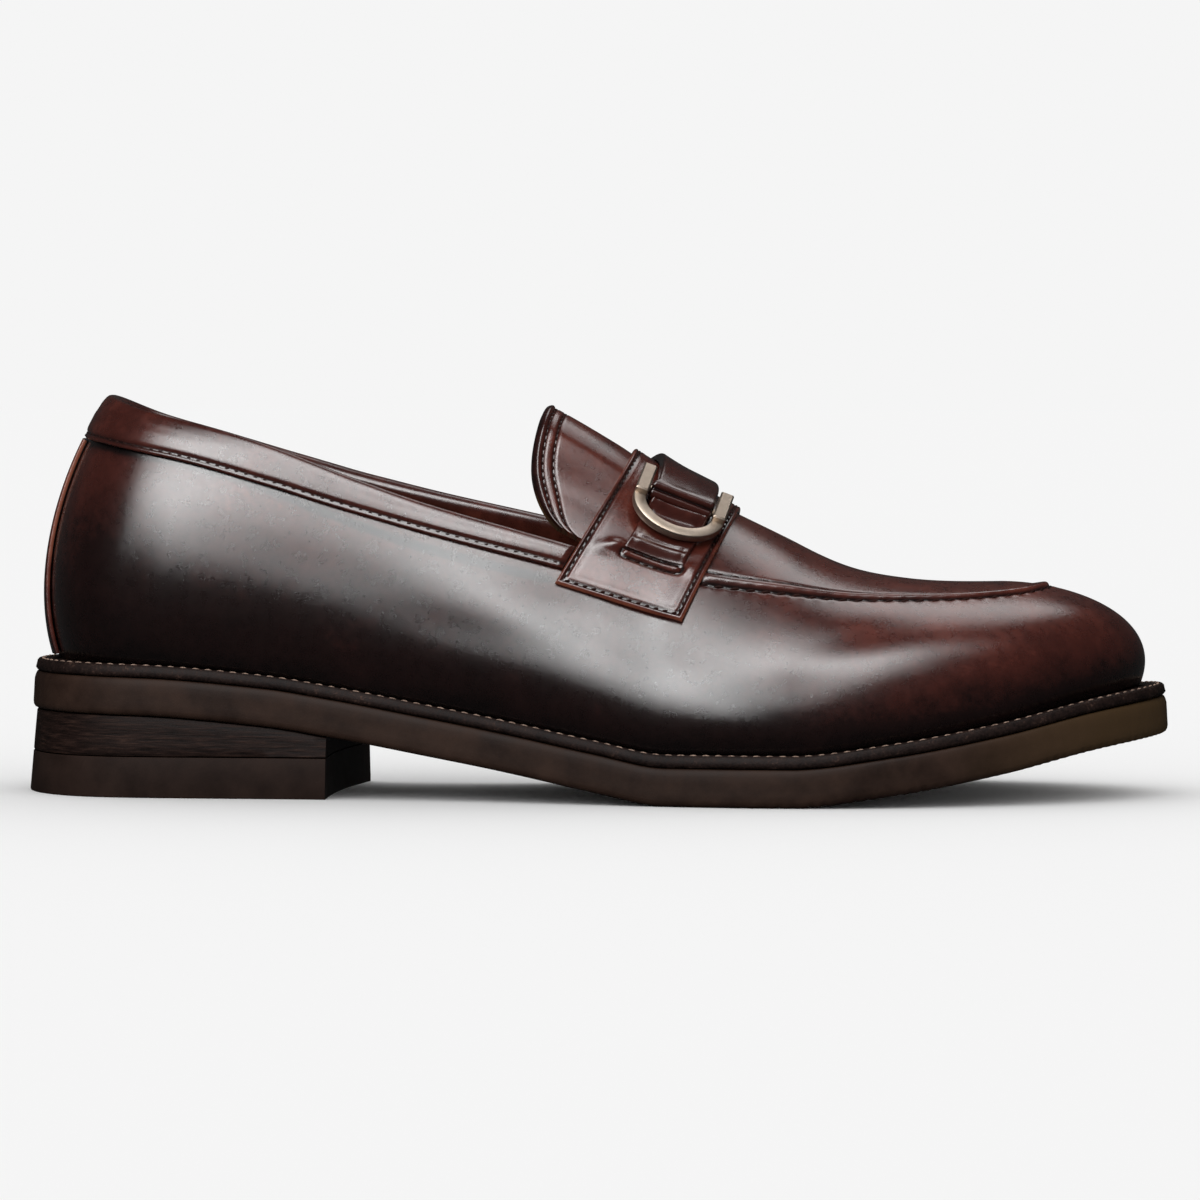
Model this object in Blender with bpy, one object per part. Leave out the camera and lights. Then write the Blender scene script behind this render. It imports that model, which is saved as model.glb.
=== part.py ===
# A right-foot buckle loafer for Blender 4.5, built the way a shoemaker assembles it.
# Metres, +Z up, +X to the toe, +Y to the inner side of the foot, origin under the middle of the box.

import math
from collections import namedtuple

import bmesh
import bpy
import numpy as np
from mathutils import Vector

MM = 0.001

# Sole
SOLE_LENGTH = 302 * MM      # outsole, heel back to toe tip
BALL_WIDTH = 109 * MM       # outsole across the ball
HEEL_PITCH = 22 * MM        # underside of the outsole above the floor at the heel's back
TOE_SPRING = 16.5 * MM      # underside of the outsole above the floor at the toe tip
OUTSOLE_THICK = 9.8 * MM
WELT_THICK = 3.1 * MM
WELT_STRIP = 12.6 * MM      # inner rim of the welt strip in from the sole's edge
SOLE_EDGE_SLANT = 0.6 * MM  # how far the outsole's top edge stands in from its bottom edge
TREAD_STEP = 1.0 * MM       # the chamfer under the outsole's edge
EDGE_SLANT = SOLE_EDGE_SLANT + 0.8 * MM     # how far the welt's top edge stands in
INSOLE_THICK = 2.6 * MM     # above the welt
INSOLE_CLEAR = 0.5 * MM     # from the insole's rim to the upper's wall
FIT_GAP = 0.3 * MM          # between pieces that meet

# Heel
HEEL_BREAST = 83.5 * MM     # heel's front face on the outer side, from the heel's back
BREAST_SKEW = 2.7 * MM      # how much further forward the inner corner stands
BREAST_HOLLOW = 2.0 * MM    # dip of the breast at its middle
HEEL_FLARE = 1.9 * MM       # how far the heel spreads on its way down
TOP_LIFT_THICK = 10.6 * MM  # the rubber piece that the heel stands on

# Upper
WALL = 2.0 * MM
INSTEP_HEIGHT = 82.7 * MM   # crest at the tongue's tip above the welt
BACK_HEIGHT = 70 * MM       # topline at the heel's back above the welt
SEAM_RISE = 0.8 * MM        # the apron's raised seam
SEAM_STEP = 0.022           # half the seam's width, as a share of a section
SEAM_CLEAR = 4.0 * MM       # from the saddle's front edge to where the seam starts to rise
SEAM_EASE = 8 * MM
SEAM_FROM = 0.46            # where the upper's rows leave the binding's edge for the seam, as a share
SEAM_OVER = 0.10            # of the sole's length, and how soon they do
EDGE_ROOM = 0.08            # least room above that row, as a share of a section
LAY_GAP = 0.35 * MM         # an overlay's clearance over the curved form under it

# Overlays
BINDING_THICK = 1.5 * MM
BINDING_CROWN = 1.7 * MM    # how far the binding rolls over the topline
BINDING_INSIDE = 5.0 * MM   # how far it comes down inside
BINDING_FOLD = 0.7          # thickness at its folded lower edge, as a share
BINDING_PUFF = 1.1          # and at its fullest
BINDING_LEAN = 0.75         # where it starts to lean with the saddle's edge, as a share of its length
BINDING_LOW = 0.3           # heights of its two swelling points, as shares of its own height
BINDING_HIGH = 0.7
BINDING_BROW = 0.75         # thickness outside its top, inside its top and at its inner hem
BINDING_CHIN = 0.6
BINDING_HEM = 0.9
BINDING_ROUND = 0.4         # how round its top is
STRIP_THICK = 1.2 * MM
STRIP_HALF_WIDTH = 10.5 * MM
STRIP_HALF_FOOT = 16 * MM
STRIP_START = 0.012         # its foot above the welt, as a share of a section
HEEL_RADIUS = 34 * MM       # of the sole's outline round the heel
SADDLE_THICK = 1.5 * MM
SADDLE_WIDTH = 31.4 * MM
SADDLE_PLACE = 175.2 * MM   # middle of the saddle on the crest, from the heel's back
SADDLE_BACK_DROP = 24 * MM  # lower corners of the saddle below its middle
SADDLE_FRONT_DROP = 33.2 * MM
SADDLE_PEAK = 2.0 * MM      # how much further back the saddle reaches on the crest than at its sides
SADDLE_DIP = 0.8 * MM       # how far its front edge falls back on the crest
SADDLE_FLARE = 2.4 * MM     # how far its front corners reach forward
SLOPE_SPAN = 12 * MM        # the crest's slope is taken this far before and behind the saddle's middle
THROAT_COVER = 8 * MM       # how far the saddle's back edge hangs over the throat
TONGUE_THICK = 2.2 * MM
TONGUE_REACH = 27.6 * MM    # tip of the tongue behind the saddle
TONGUE_ROUND = 0.88         # how far its sides fall back from the tip, as a share of the reach
TONGUE_CORNER = 0.985
TONGUE_POWER = 2.6
TONGUE_FOOT = 0.50          # how far down the section the tongue's sides reach
TONGUE_DIP = 0.40           # where they start to dip inside the collar, as a share of the way

# Straps and rings
STRAP_SHIFT = -2.1 * MM     # middle of the strap on the crest, from the saddle's
STRAP_SKEW = 14 * MM        # how far forward it runs down the outer side, for a whole section
BAR_RADIUS = 1.1 * MM
BAR_BELOW = 2.4 * MM        # the outer bar's middle below the crest, square to it
INNER_BAR_BELOW = 5.2 * MM  # the inner bar's
HOOK_RADIUS = 2.9 * MM      # the strap's outside where it hooks round a bar
HOOK_END = -140             # degrees from downhill where the hook ends, tucked in below the bar
BAR_LIFT = 3 * LAY_GAP + SADDLE_THICK + HOOK_RADIUS
BRIDGE_THICK = 2.6 * MM
BRIDGE_WIDTH = 17.2 * MM
TAB_THICK = 1.2 * MM
TAB_WIDTH = 16.4 * MM
TAB_REACH = 19.5 * MM       # from the bar down to the tab's slot
CURL_CLEAR = 0.6 * MM
CURL_RISE = 2.6 * MM        # how far the tab's top curls up to the bar
CURL_LENGTH = 3.2 * MM
CURL_POWER = 1.5
BRIDGE_POWER = 1.6          # how late the strap rises from the crest towards a bar
RING_WIDTH = 25.0 * MM      # along the crest
RING_DEPTH = 14.5 * MM      # from the bar to the bottom of the bow
RING_BAND = 3.3 * MM
RING_THICK = 2.2 * MM
LUG_LONG = 8.4 * MM
LUG_WIDE = 3.5 * MM
LUG_TOP = 2.9 * MM          # top of a lug above the bar's middle
LUG_OVERLAP = 0.8 * MM      # how far the bow runs into a lug
LUG_PROUD = 0.05 * MM       # a lug's margin around the bow's end
RING_CLEAR = 1.0 * MM       # more room below the bow, where the instep is round

# Mesh
BACK_COLUMNS = 22
THROAT_COLUMNS = 7
FRONT_COLUMNS = 22
ROWS_BELOW = 5
ROWS_ABOVE = 4
HEEL_STEPS = 12
BINDING_STEPS = 24
STRIP_ROWS = 6
SADDLE_STEPS = 7
SADDLE_ROWS = 11
TONGUE_ROWS = 9
TONGUE_STEPS = 7
TAB_ROWS = 6
TAB_COLUMNS = 4
HOOK_STEPS = 9
BRIDGE_ROWS = 4
BRIDGE_STEPS = 4
BOW_STEPS = 18
WELD = 0.001 * MM
PLACE_STEP = 0.01           # a small step along a section
ON_CREST = 0.99             # a place this near the crest counts as on it
SEARCH_LOW = 0.2            # lowest place that a search along a section tries
STEP_SHARE = 0.7            # share of each correction that a search ahead takes
THROAT_FROM = 0.4           # the collar meets the saddle between these shares of the sole's length
THROAT_TO = 0.55
SHARP_ANGLE = math.radians(40)

OutlineRow = namedtuple("OutlineRow", "along outer inner")
# Shares: along of the sole's length, outer and inner of the ball width, from the axis.
OUTLINE = [
    OutlineRow(0.000, -0.014, 0.014),
    OutlineRow(0.017, 0.152, 0.180),
    OutlineRow(0.057, 0.262, 0.286),
    OutlineRow(0.132, 0.304, 0.320),
    OutlineRow(0.248, 0.312, 0.298),
    OutlineRow(0.364, 0.344, 0.268),
    OutlineRow(0.480, 0.413, 0.303),
    OutlineRow(0.580, 0.472, 0.390),
    OutlineRow(0.662, 0.498, 0.464),
    OutlineRow(0.745, 0.480, 0.504),
    OutlineRow(0.828, 0.415, 0.478),
    OutlineRow(0.897, 0.318, 0.417),
    OutlineRow(0.954, 0.192, 0.322),
    OutlineRow(0.987, 0.062, 0.208),
    OutlineRow(1.000, -0.069, 0.069),
]

UndersideRow = namedtuple("UndersideRow", "along heel toe")
# Height of the outsole's underside: share of the pitch behind the ball, of the toe spring before it.
UNDERSIDE = [
    UndersideRow(0.00, 1.000, 0.0),
    UndersideRow(0.11, 0.975, 0.0),
    UndersideRow(0.22, 0.860, 0.0),
    UndersideRow(0.28, 0.735, 0.0),
    UndersideRow(0.36, 0.540, 0.0),
    UndersideRow(0.43, 0.370, 0.0),
    UndersideRow(0.515, 0.140, 0.0),
    UndersideRow(0.575, 0.0, 0.0),
    UndersideRow(0.680, 0.0, 0.0),
    UndersideRow(0.77, 0.0, 0.190),
    UndersideRow(0.86, 0.0, 0.490),
    UndersideRow(0.94, 0.0, 0.830),
    UndersideRow(1.00, 0.0, 1.000),
]

MarginRow = namedtuple("MarginRow", "along margin")
# How far the welt shows around the upper.
MARGINS = [
    MarginRow(0.00, 5.6 * MM),
    MarginRow(0.12, 3.1 * MM),
    MarginRow(0.40, 2.3 * MM),
    MarginRow(0.66, 3.8 * MM),
    MarginRow(0.90, 4.8 * MM),
    MarginRow(1.00, 5.9 * MM),
]

CrestRow = namedtuple("CrestRow", "along height shift")
# The last's crest: height above the welt as a share of the instep, shift to the inner side of the width.
CREST = [
    CrestRow(0.146, 1.030, 0.018),
    CrestRow(0.232, 1.085, 0.022),
    CrestRow(0.298, 1.105, 0.028),
    CrestRow(0.364, 1.085, 0.036),
    CrestRow(0.459, 1.000, 0.048),
    CrestRow(0.538, 0.885, 0.053),
    CrestRow(0.626, 0.727, 0.055),
    CrestRow(0.679, 0.632, 0.054),
    CrestRow(0.722, 0.551, 0.053),
    CrestRow(0.766, 0.494, 0.054),
    CrestRow(0.819, 0.450, 0.057),
    CrestRow(0.854, 0.426, 0.060),
]

SectionRow = namedtuple("SectionRow", "along crest belly_out belly_up shoulder_out shoulder_up crown_out")
# Each row bends one section from the welt up to the crest. Shares of the section's reach and rise.
SECTIONS = [
    SectionRow(0.000, 0.146, 1.26, 0.35, 0.79, 0.80, 0.40),
    SectionRow(0.057, 0.165, 1.25, 0.35, 0.80, 0.80, 0.40),
    SectionRow(0.132, 0.205, 1.22, 0.35, 0.80, 0.80, 0.37),
    SectionRow(0.298, 0.315, 1.20, 0.35, 0.74, 0.78, 0.30),
    SectionRow(0.430, 0.432, 1.16, 0.35, 0.69, 0.75, 0.26),
    SectionRow(0.530, 0.530, 1.12, 0.35, 0.65, 0.72, 0.24),
    SectionRow(0.630, 0.628, 1.11, 0.34, 0.69, 0.74, 0.24),
    SectionRow(0.722, 0.712, 1.10, 0.30, 0.84, 0.78, 0.28),
    SectionRow(0.812, 0.775, 1.09, 0.30, 0.93, 0.78, 0.38),
    SectionRow(0.920, 0.832, 1.09, 0.32, 1.00, 0.74, 0.47),
    SectionRow(1.000, 0.854, 1.10, 0.33, 1.05, 0.73, 0.50),
]

ToplineRow = namedtuple("ToplineRow", "along outer inner")
# Height of the topline above the welt, as a share of the back height.
TOPLINE = [
    ToplineRow(0.000, 0.978, 0.978),
    ToplineRow(0.057, 0.940, 0.923),
    ToplineRow(0.132, 0.888, 0.858),
    ToplineRow(0.180, 0.858, 0.820),
    ToplineRow(0.240, 0.807, 0.780),
    ToplineRow(0.338, 0.732, 0.746),
    ToplineRow(0.425, 0.690, 0.728),
    ToplineRow(0.497, 0.665, 0.718),
]

BandRow = namedtuple("BandRow", "along height")
# Lower edge of the binding, as a share of the back height above the welt.
BAND = [
    BandRow(0.000, 0.835),
    BandRow(0.100, 0.785),
    BandRow(0.166, 0.742),
    BandRow(0.252, 0.680),
    BandRow(0.340, 0.638),
    BandRow(0.426, 0.605),
    BandRow(0.497, 0.585),
]

SeamRow = namedtuple("SeamRow", "along place")
# The apron's seam, as a share of the section from the welt to the crest.
SEAM = [
    SeamRow(0.497, 0.46),
    SeamRow(0.600, 0.50),
    SeamRow(0.660, 0.555),
    SeamRow(0.722, 0.63),
    SeamRow(0.790, 0.685),
    SeamRow(0.860, 0.72),
    SeamRow(0.940, 0.765),
    SeamRow(1.000, 0.82),
]

OUTER, INNER = -1, 1        # the sides of the foot, by the sign of Y


def spline(xs, ys):
    # Natural cubic spline through the points, as a function.
    xs, ys = np.asarray(xs, float), np.asarray(ys, float)
    step = np.diff(xs)
    matrix = np.eye(len(xs))
    right = np.zeros(len(xs))
    for k in range(1, len(xs) - 1):
        matrix[k, k - 1:k + 2] = step[k - 1], 2 * (step[k - 1] + step[k]), step[k]
        right[k] = 6 * ((ys[k + 1] - ys[k]) / step[k] - (ys[k] - ys[k - 1]) / step[k - 1])
    bend = np.linalg.solve(matrix, right)

    def at(x):
        x = np.clip(np.asarray(x, float), xs[0], xs[-1])
        k = np.clip(np.searchsorted(xs, x) - 1, 0, len(step) - 1)
        a, b, h = xs[k + 1] - x, x - xs[k], step[k]
        return ((bend[k] * a**3 + bend[k + 1] * b**3) / (6 * h)
                + (ys[k] / h - bend[k] * h / 6) * a + (ys[k + 1] / h - bend[k + 1] * h / 6) * b)
    return at


def level_spline(xs, ys):
    # Monotone cubic through the points: it stays flat where they are, and never overshoots.
    xs, ys = np.asarray(xs, float), np.asarray(ys, float)
    step = np.diff(xs)
    rise = np.diff(ys) / step
    slope = np.zeros(len(xs))
    for k in range(1, len(xs) - 1):
        if rise[k - 1] * rise[k] > 0:
            slope[k] = 2 * rise[k - 1] * rise[k] / (rise[k - 1] + rise[k])
    slope[-1] = rise[-1]

    def at(x):
        x = np.clip(np.asarray(x, float), xs[0], xs[-1])
        k = np.clip(np.searchsorted(xs, x) - 1, 0, len(step) - 1)
        u = (x - xs[k]) / step[k]
        return ((1 + 2 * u) * (1 - u)**2 * ys[k] + u * (1 - u)**2 * step[k] * slope[k]
                + u**2 * (3 - 2 * u) * ys[k + 1] + u**2 * (u - 1) * step[k] * slope[k + 1])
    return at


def column_of(rows, name):
    return [getattr(row, name) for row in rows]


def turn_of(along):
    # The last is walked by an angle: 0 at the heel's back, pi at the toe tip.
    return np.arccos(np.clip(1 - 2 * np.asarray(along, float) / SOLE_LENGTH, -1, 1))


def along_of(turn):
    return SOLE_LENGTH * (1 - np.cos(turn)) / 2


def closed_outline():
    # One periodic spline of Y over the angle, by wrapping a turn's worth of rows on both ends.
    alongs = np.array(column_of(OUTLINE, "along")) * SOLE_LENGTH
    turns = turn_of(alongs)
    outer = -np.array(column_of(OUTLINE, "outer")) * BALL_WIDTH
    inner = np.array(column_of(OUTLINE, "inner")) * BALL_WIDTH
    loop_turns = np.concatenate([turns, (2 * math.pi - turns[1:-1])[::-1]])
    loop_sides = np.concatenate([outer, inner[1:-1][::-1]])
    order = np.concatenate([loop_turns - 2 * math.pi, loop_turns, loop_turns + 2 * math.pi])
    return spline(order, np.tile(loop_sides, 3))


outline_side = closed_outline()
underside = level_spline(
    np.array(column_of(UNDERSIDE, "along")) * SOLE_LENGTH,
    np.array(column_of(UNDERSIDE, "heel")) * HEEL_PITCH + np.array(column_of(UNDERSIDE, "toe")) * TOE_SPRING,
)
margin_at = spline(np.array(column_of(MARGINS, "along")) * SOLE_LENGTH, column_of(MARGINS, "margin"))


def by_along(rows, name, scale):
    return spline(np.array(column_of(rows, "along")) * SOLE_LENGTH, np.array(column_of(rows, name)) * scale)


crest_height = by_along(CREST, "height", INSTEP_HEIGHT)
crest_shift = by_along(CREST, "shift", BALL_WIDTH)
crest_along = by_along(SECTIONS, "crest", SOLE_LENGTH)
section_shape = {name: by_along(SECTIONS, name, 1) for name in SectionRow._fields[2:]}
topline_height = {
    OUTER: by_along(TOPLINE, "outer", BACK_HEIGHT),
    INNER: by_along(TOPLINE, "inner", BACK_HEIGHT),
}
band_height = by_along(BAND, "height", BACK_HEIGHT)
seam_place = by_along(SEAM, "place", 1)


def welt_top(along):
    return underside(along) + OUTSOLE_THICK + FIT_GAP + WELT_THICK


def outline_point(side, turn, inset):
    # A point of the sole's outline, moved in along its own normal.
    angle = np.asarray(turn, float) * -side
    small = 1e-4
    before = np.stack([along_of(angle - small), outline_side((angle - small) % (2 * math.pi))], -1)
    after = np.stack([along_of(angle + small), outline_side((angle + small) % (2 * math.pi))], -1)
    way = after - before
    way /= np.linalg.norm(way, axis=-1, keepdims=True)
    point = np.stack([along_of(angle), outline_side(angle % (2 * math.pi))], -1)
    inward = np.stack([-way[..., 1], way[..., 0]], -1)
    return point + inward * np.asarray(inset, float)[..., None]


def last_point(side, turn, place):
    # The last: place 0 is the upper's foot on the welt, 1 the crest.
    turn, place = np.broadcast_arrays(np.asarray(turn, float), np.asarray(place, float))
    along = along_of(turn)
    foot = outline_point(side, turn, EDGE_SLANT + margin_at(along))
    foot_z = welt_top(foot[..., 0]) + FIT_GAP
    top_x = crest_along(along)
    top = np.stack([top_x, crest_shift(top_x)], -1)
    top_z = welt_top(top_x) + crest_height(top_x)
    weights = [math.comb(4, k) * place**k * (1 - place)**(4 - k) for k in range(5)]
    shape = {name: curve(along) for name, curve in section_shape.items()}
    out = (weights[0] + weights[1] * shape["belly_out"] + weights[2] * shape["shoulder_out"]
           + weights[3] * shape["crown_out"])
    up = weights[1] * shape["belly_up"] + weights[2] * shape["shoulder_up"] + weights[3] + weights[4]
    flat = top + (foot - top) * out[..., None]
    return np.concatenate([flat, (foot_z + (top_z - foot_z) * up)[..., None]], -1)


def last_normal(side, turn, place):
    turn, place = np.broadcast_arrays(np.asarray(turn, float), np.asarray(place, float))
    small = 1e-4
    place = np.clip(place, small, 1 - 2 * small)
    ahead = last_point(side, turn + small, place) - last_point(side, turn - small, place)
    above = last_point(side, turn, place + small) - last_point(side, turn, place - small)
    normal = np.cross(ahead, above) * -side
    return normal / np.linalg.norm(normal, axis=-1, keepdims=True)


def lifted(side, turn, place, lift):
    return last_point(side, turn, place) + last_normal(side, turn, place) * np.asarray(lift, float)[..., None]


def halved(under, low, high):
    # The value between low and high where under stops being true.
    low, high = np.array(low, float), np.array(high, float)
    for _ in range(36):
        middle = (low + high) / 2
        short = under(middle)
        low, high = np.where(short, middle, low), np.where(short, high, middle)
    return (low + high) / 2


def place_at_height(side, turn, height):
    # Where a section reaches a height above the welt.
    turn = np.asarray(turn, float)
    wanted = welt_top(along_of(turn)) + height
    return halved(lambda place: last_point(side, turn, place)[..., 2] < wanted,
                  np.zeros(turn.shape), np.ones(turn.shape))


# The saddle's own frame on the crest: forward along it, and upward square to it in the side view.
saddle_centre = last_point(OUTER, turn_of(SADDLE_PLACE), 1.0)
crest_run = (last_point(OUTER, turn_of(SADDLE_PLACE + SLOPE_SPAN), 1.0)
             - last_point(OUTER, turn_of(SADDLE_PLACE - SLOPE_SPAN), 1.0))
crest_slope = math.atan2(crest_run[2], crest_run[0])
crest_forward = np.array([math.cos(crest_slope), 0, math.sin(crest_slope)])
crest_upward = np.array([-math.sin(crest_slope), 0, math.cos(crest_slope)])
saddle_back = -SADDLE_WIDTH / 2
saddle_front = SADDLE_WIDTH / 2
throat_line = saddle_back + THROAT_COVER


def ahead_of(point):
    return (point - saddle_centre) @ crest_forward


def above_crest(point):
    return (point - saddle_centre) @ crest_upward


def turn_across(side, ahead, place):
    # The section whose point at this place lies that far ahead of the saddle's middle.
    ahead, place = np.broadcast_arrays(np.asarray(ahead, float), np.asarray(place, float))
    along = np.full(place.shape, SADDLE_PLACE) + ahead
    for _ in range(14):
        point = last_point(side, turn_of(along), place)
        along = along + (ahead - ahead_of(point)) / crest_forward[0] * STEP_SHARE
    return turn_of(along)


def place_across(side, ahead, height):
    # Where the line square to the crest, that far ahead, comes down to a height over the floor.
    return halved(lambda place: last_point(side, turn_across(side, ahead, place), place)[..., 2] < height,
                  np.full(np.shape(ahead), SEARCH_LOW), np.ones(np.shape(ahead)))


def topline_meets(side, ahead):
    # The turn where the topline crosses the line square to the crest, that far ahead.
    def behind(along):
        turn = turn_of(along)
        place = place_at_height(side, turn, topline_height[side](along))
        return ahead_of(last_point(side, turn, place)) < ahead
    return turn_of(halved(behind, THROAT_FROM * SOLE_LENGTH, THROAT_TO * SOLE_LENGTH))


throat_foot = {side: float(topline_meets(side, throat_line)) for side in (OUTER, INNER)}
binding_end = {side: float(topline_meets(side, saddle_back - FIT_GAP)) for side in (OUTER, INNER)}


def smooth(share):
    share = np.clip(share, 0, 1)
    return share * share * (3 - 2 * share)


def clear_scene():
    for item in list(bpy.data.objects):
        bpy.data.objects.remove(item, do_unlink=True)


def material(name, colour, roughness, metallic=0.0):
    made = bpy.data.materials.new(name)
    made.use_nodes = True
    shader = made.node_tree.nodes["Principled BSDF"]
    shader.inputs["Base Color"].default_value = (*colour, 1)
    shader.inputs["Roughness"].default_value = roughness
    shader.inputs["Metallic"].default_value = metallic
    return made


def finish_object(name, mesh, finish):
    mesh.materials.append(finish)
    mesh.shade_smooth()
    mesh.set_sharp_from_angle(angle=SHARP_ANGLE)
    made = bpy.data.objects.new(name, mesh)
    made.location = origin_shift
    made.parent = assembly
    bpy.context.scene.collection.objects.link(made)
    return made


def mesh_of(name, points, faces):
    # Joins coincident corners and turns every face outwards.
    mesh = bpy.data.meshes.new(name)
    mesh.from_pydata([tuple(p) for p in np.asarray(points).reshape(-1, 3)], [], faces)
    work = bmesh.new()
    work.from_mesh(mesh)
    bmesh.ops.remove_doubles(work, verts=work.verts, dist=WELD)
    bmesh.ops.recalc_face_normals(work, faces=work.faces)
    work.to_mesh(mesh)
    work.free()
    return mesh


def quads(rows, columns, start=0, closed=False):
    # Faces over a grid of points, row by row; closed joins the last column to the first.
    found = []
    for r in range(rows - 1):
        for c in range(columns if closed else columns - 1):
            n = (c + 1) % columns
            found.append((start + r * columns + c, start + r * columns + n,
                          start + (r + 1) * columns + n, start + (r + 1) * columns + c))
    return found


def slab(name, under, over, finish):
    # A curved sheet with thickness: two grids of the same size, joined round their rim.
    rows, columns = under.shape[:2]
    count = rows * columns
    faces = quads(rows, columns) + quads(rows, columns, count)
    rim = ([(0, c) for c in range(columns)] + [(r, columns - 1) for r in range(1, rows)]
           + [(rows - 1, c) for c in range(columns - 2, -1, -1)] + [(r, 0) for r in range(rows - 2, 0, -1)])
    for (r0, c0), (r1, c1) in zip(rim, rim[1:] + rim[:1]):
        a, b = r0 * columns + c0, r1 * columns + c1
        faces.append((a, b, b + count, a + count))
    mesh = mesh_of(name, np.concatenate([under.reshape(-1, 3), over.reshape(-1, 3)]), faces)
    return finish_object(name, mesh, finish)


def swept_mesh(name, rings, closed=False):
    # A closed profile carried along a path, one ring of points for each step.
    rings = np.asarray(rings)
    count, size = rings.shape[:2]
    faces = quads(count, size, closed=True)
    if closed:
        faces += [((count - 1) * size + k, (count - 1) * size + (k + 1) % size, (k + 1) % size, k)
                  for k in range(size)]
    else:
        faces += [tuple(range(size)), tuple(range((count - 1) * size, count * size))]
    return mesh_of(name, rings, faces)


def around():
    # Both sides of the shoe as one loop: heel to toe on the outer side, back on the inner.
    return [(OUTER, turn) for turn in turns] + [(INNER, turn) for turn in turns[-2:0:-1]]


def plate(name, levels, finish):
    # A sole plate: outline rings from bottom to top, closed by strips across the foot.
    # Each level gives an inset from the outline and a height over the outsole's underside.
    loop = around()
    size = len(loop)
    points = []
    for inset, height in levels:
        for side, turn in loop:
            flat = outline_point(side, turn, inset(along_of(turn)))
            points.append((*flat, underside(flat[0]) + height))
    faces = quads(len(levels), size, closed=True)
    for start in (0, (len(levels) - 1) * size):
        for k in range(len(turns) - 1):
            corners = (start + k, start + k + 1, start + size - k - 1, start + (size - k) % size)
            faces.append(tuple(dict.fromkeys(corners)))
    return finish_object(name, mesh_of(name, points, faces), finish)


def make_outsole(finish):
    plate("outsole", [
        (lambda along: TREAD_STEP, 0),
        (lambda along: 0, TREAD_STEP),
        (lambda along: SOLE_EDGE_SLANT, OUTSOLE_THICK),
    ], finish)


def make_welt(finish):
    # A strip that runs right round, its inner rim open for the insole.
    base = OUTSOLE_THICK + FIT_GAP
    rings = []
    for side, turn in around():
        ring = []
        for inset, height in [(SOLE_EDGE_SLANT, base), (WELT_STRIP, base),
                              (WELT_STRIP, base + WELT_THICK), (EDGE_SLANT, base + WELT_THICK)]:
            flat = outline_point(side, turn, inset)
            ring.append((*flat, underside(flat[0]) + height))
        rings.append(ring)
    finish_object("welt", swept_mesh("welt", rings, closed=True), finish)


def make_insole(finish):
    # It fills the welt's ring and spreads over the strip to the upper's wall.
    base = OUTSOLE_THICK + FIT_GAP
    step = base + WELT_THICK + FIT_GAP

    def in_ring(along):
        return WELT_STRIP + FIT_GAP

    def in_upper(along):
        return EDGE_SLANT + float(margin_at(along)) + WALL + INSOLE_CLEAR

    plate("insole", [(in_ring, base), (in_ring, step), (in_upper, step), (in_upper, step + INSOLE_THICK)], finish)


def heel_piece(name, levels, finish):
    # One layer of the heel: the outsole's outline cut off at the breast, between two levels.
    # Each level gives a flare beyond the outline and a height for a distance from the heel's back.
    reach = {OUTER: HEEL_BREAST, INNER: HEEL_BREAST + BREAST_SKEW}
    steps = np.linspace(0, 1, HEEL_STEPS + 1)
    points = []
    for flare, height in levels:
        for side, order in ((OUTER, steps[::-1]), (INNER, steps[1:])):
            for share in order:
                flat = outline_point(side, turn_of(reach[side]) * share, -flare)
                points.append((*flat, height(flat[0])))
        middle = (np.array(points[-1]) + np.array(points[-2 * HEEL_STEPS - 1])) / 2
        middle[0] -= BREAST_HOLLOW
        points.append((middle[0], middle[1], height(middle[0])))
    size = 2 * HEEL_STEPS + 2
    faces = quads(2, size, closed=True)
    for start in (0, size):
        for k in range(HEEL_STEPS - 1):
            faces.append((start + k, start + k + 1, start + 2 * HEEL_STEPS - k - 1, start + 2 * HEEL_STEPS - k))
        faces.append((start + HEEL_STEPS - 1, start + HEEL_STEPS, start + HEEL_STEPS + 1))
        faces.append((start, start + 2 * HEEL_STEPS, start + size - 1))
    finish_object(name, mesh_of(name, points, faces), finish)


def make_heel(stack_finish, lift_finish):
    # The flare grows evenly from the outsole's tread edge down to the floor.
    seat = -TREAD_STEP
    foot = HEEL_FLARE - TREAD_STEP
    join = seat + (foot - seat) * (1 - TOP_LIFT_THICK / HEEL_PITCH)
    heel_piece("heel_top_lift", [(foot, lambda x: 0.0), (join, lambda x: TOP_LIFT_THICK)], lift_finish)
    heel_piece("heel_stack", [
        (join, lambda x: TOP_LIFT_THICK + FIT_GAP),
        (seat, lambda x: float(underside(x)) - FIT_GAP),
    ], stack_finish)


def opening_place(side, turns):
    # Upper edge of the upper on each section: the topline, then the throat, then closed at the crest.
    foot = throat_foot[side]
    level = place_at_height(side, turns, topline_height[side](along_of(np.minimum(turns, foot))))
    climb = halved(lambda place: ahead_of(last_point(side, turns, place)) > throat_line,
                   np.full(turns.shape, SEARCH_LOW), np.ones(turns.shape))
    edge = np.where(turns > foot + 1e-6, climb, level)
    return np.where(edge > ON_CREST, 1.0, edge)


def seam_rise(side, turns):
    # The apron's raised seam comes out from under the saddle's front edge.
    start = along_of(turn_across(side, saddle_front + SEAM_CLEAR, float(seam_place(SADDLE_PLACE))))
    return SEAM_RISE * smooth((along_of(turns) - start) / SEAM_EASE)


def row_line(side, turns):
    # The line that the upper's rows follow: the binding's lower edge, then the apron's seam.
    along = along_of(turns)
    band = place_at_height(side, turns, band_height(along))
    share = smooth((along / SOLE_LENGTH - SEAM_FROM) / SEAM_OVER)
    return band * (1 - share) + seam_place(along) * share


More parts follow.
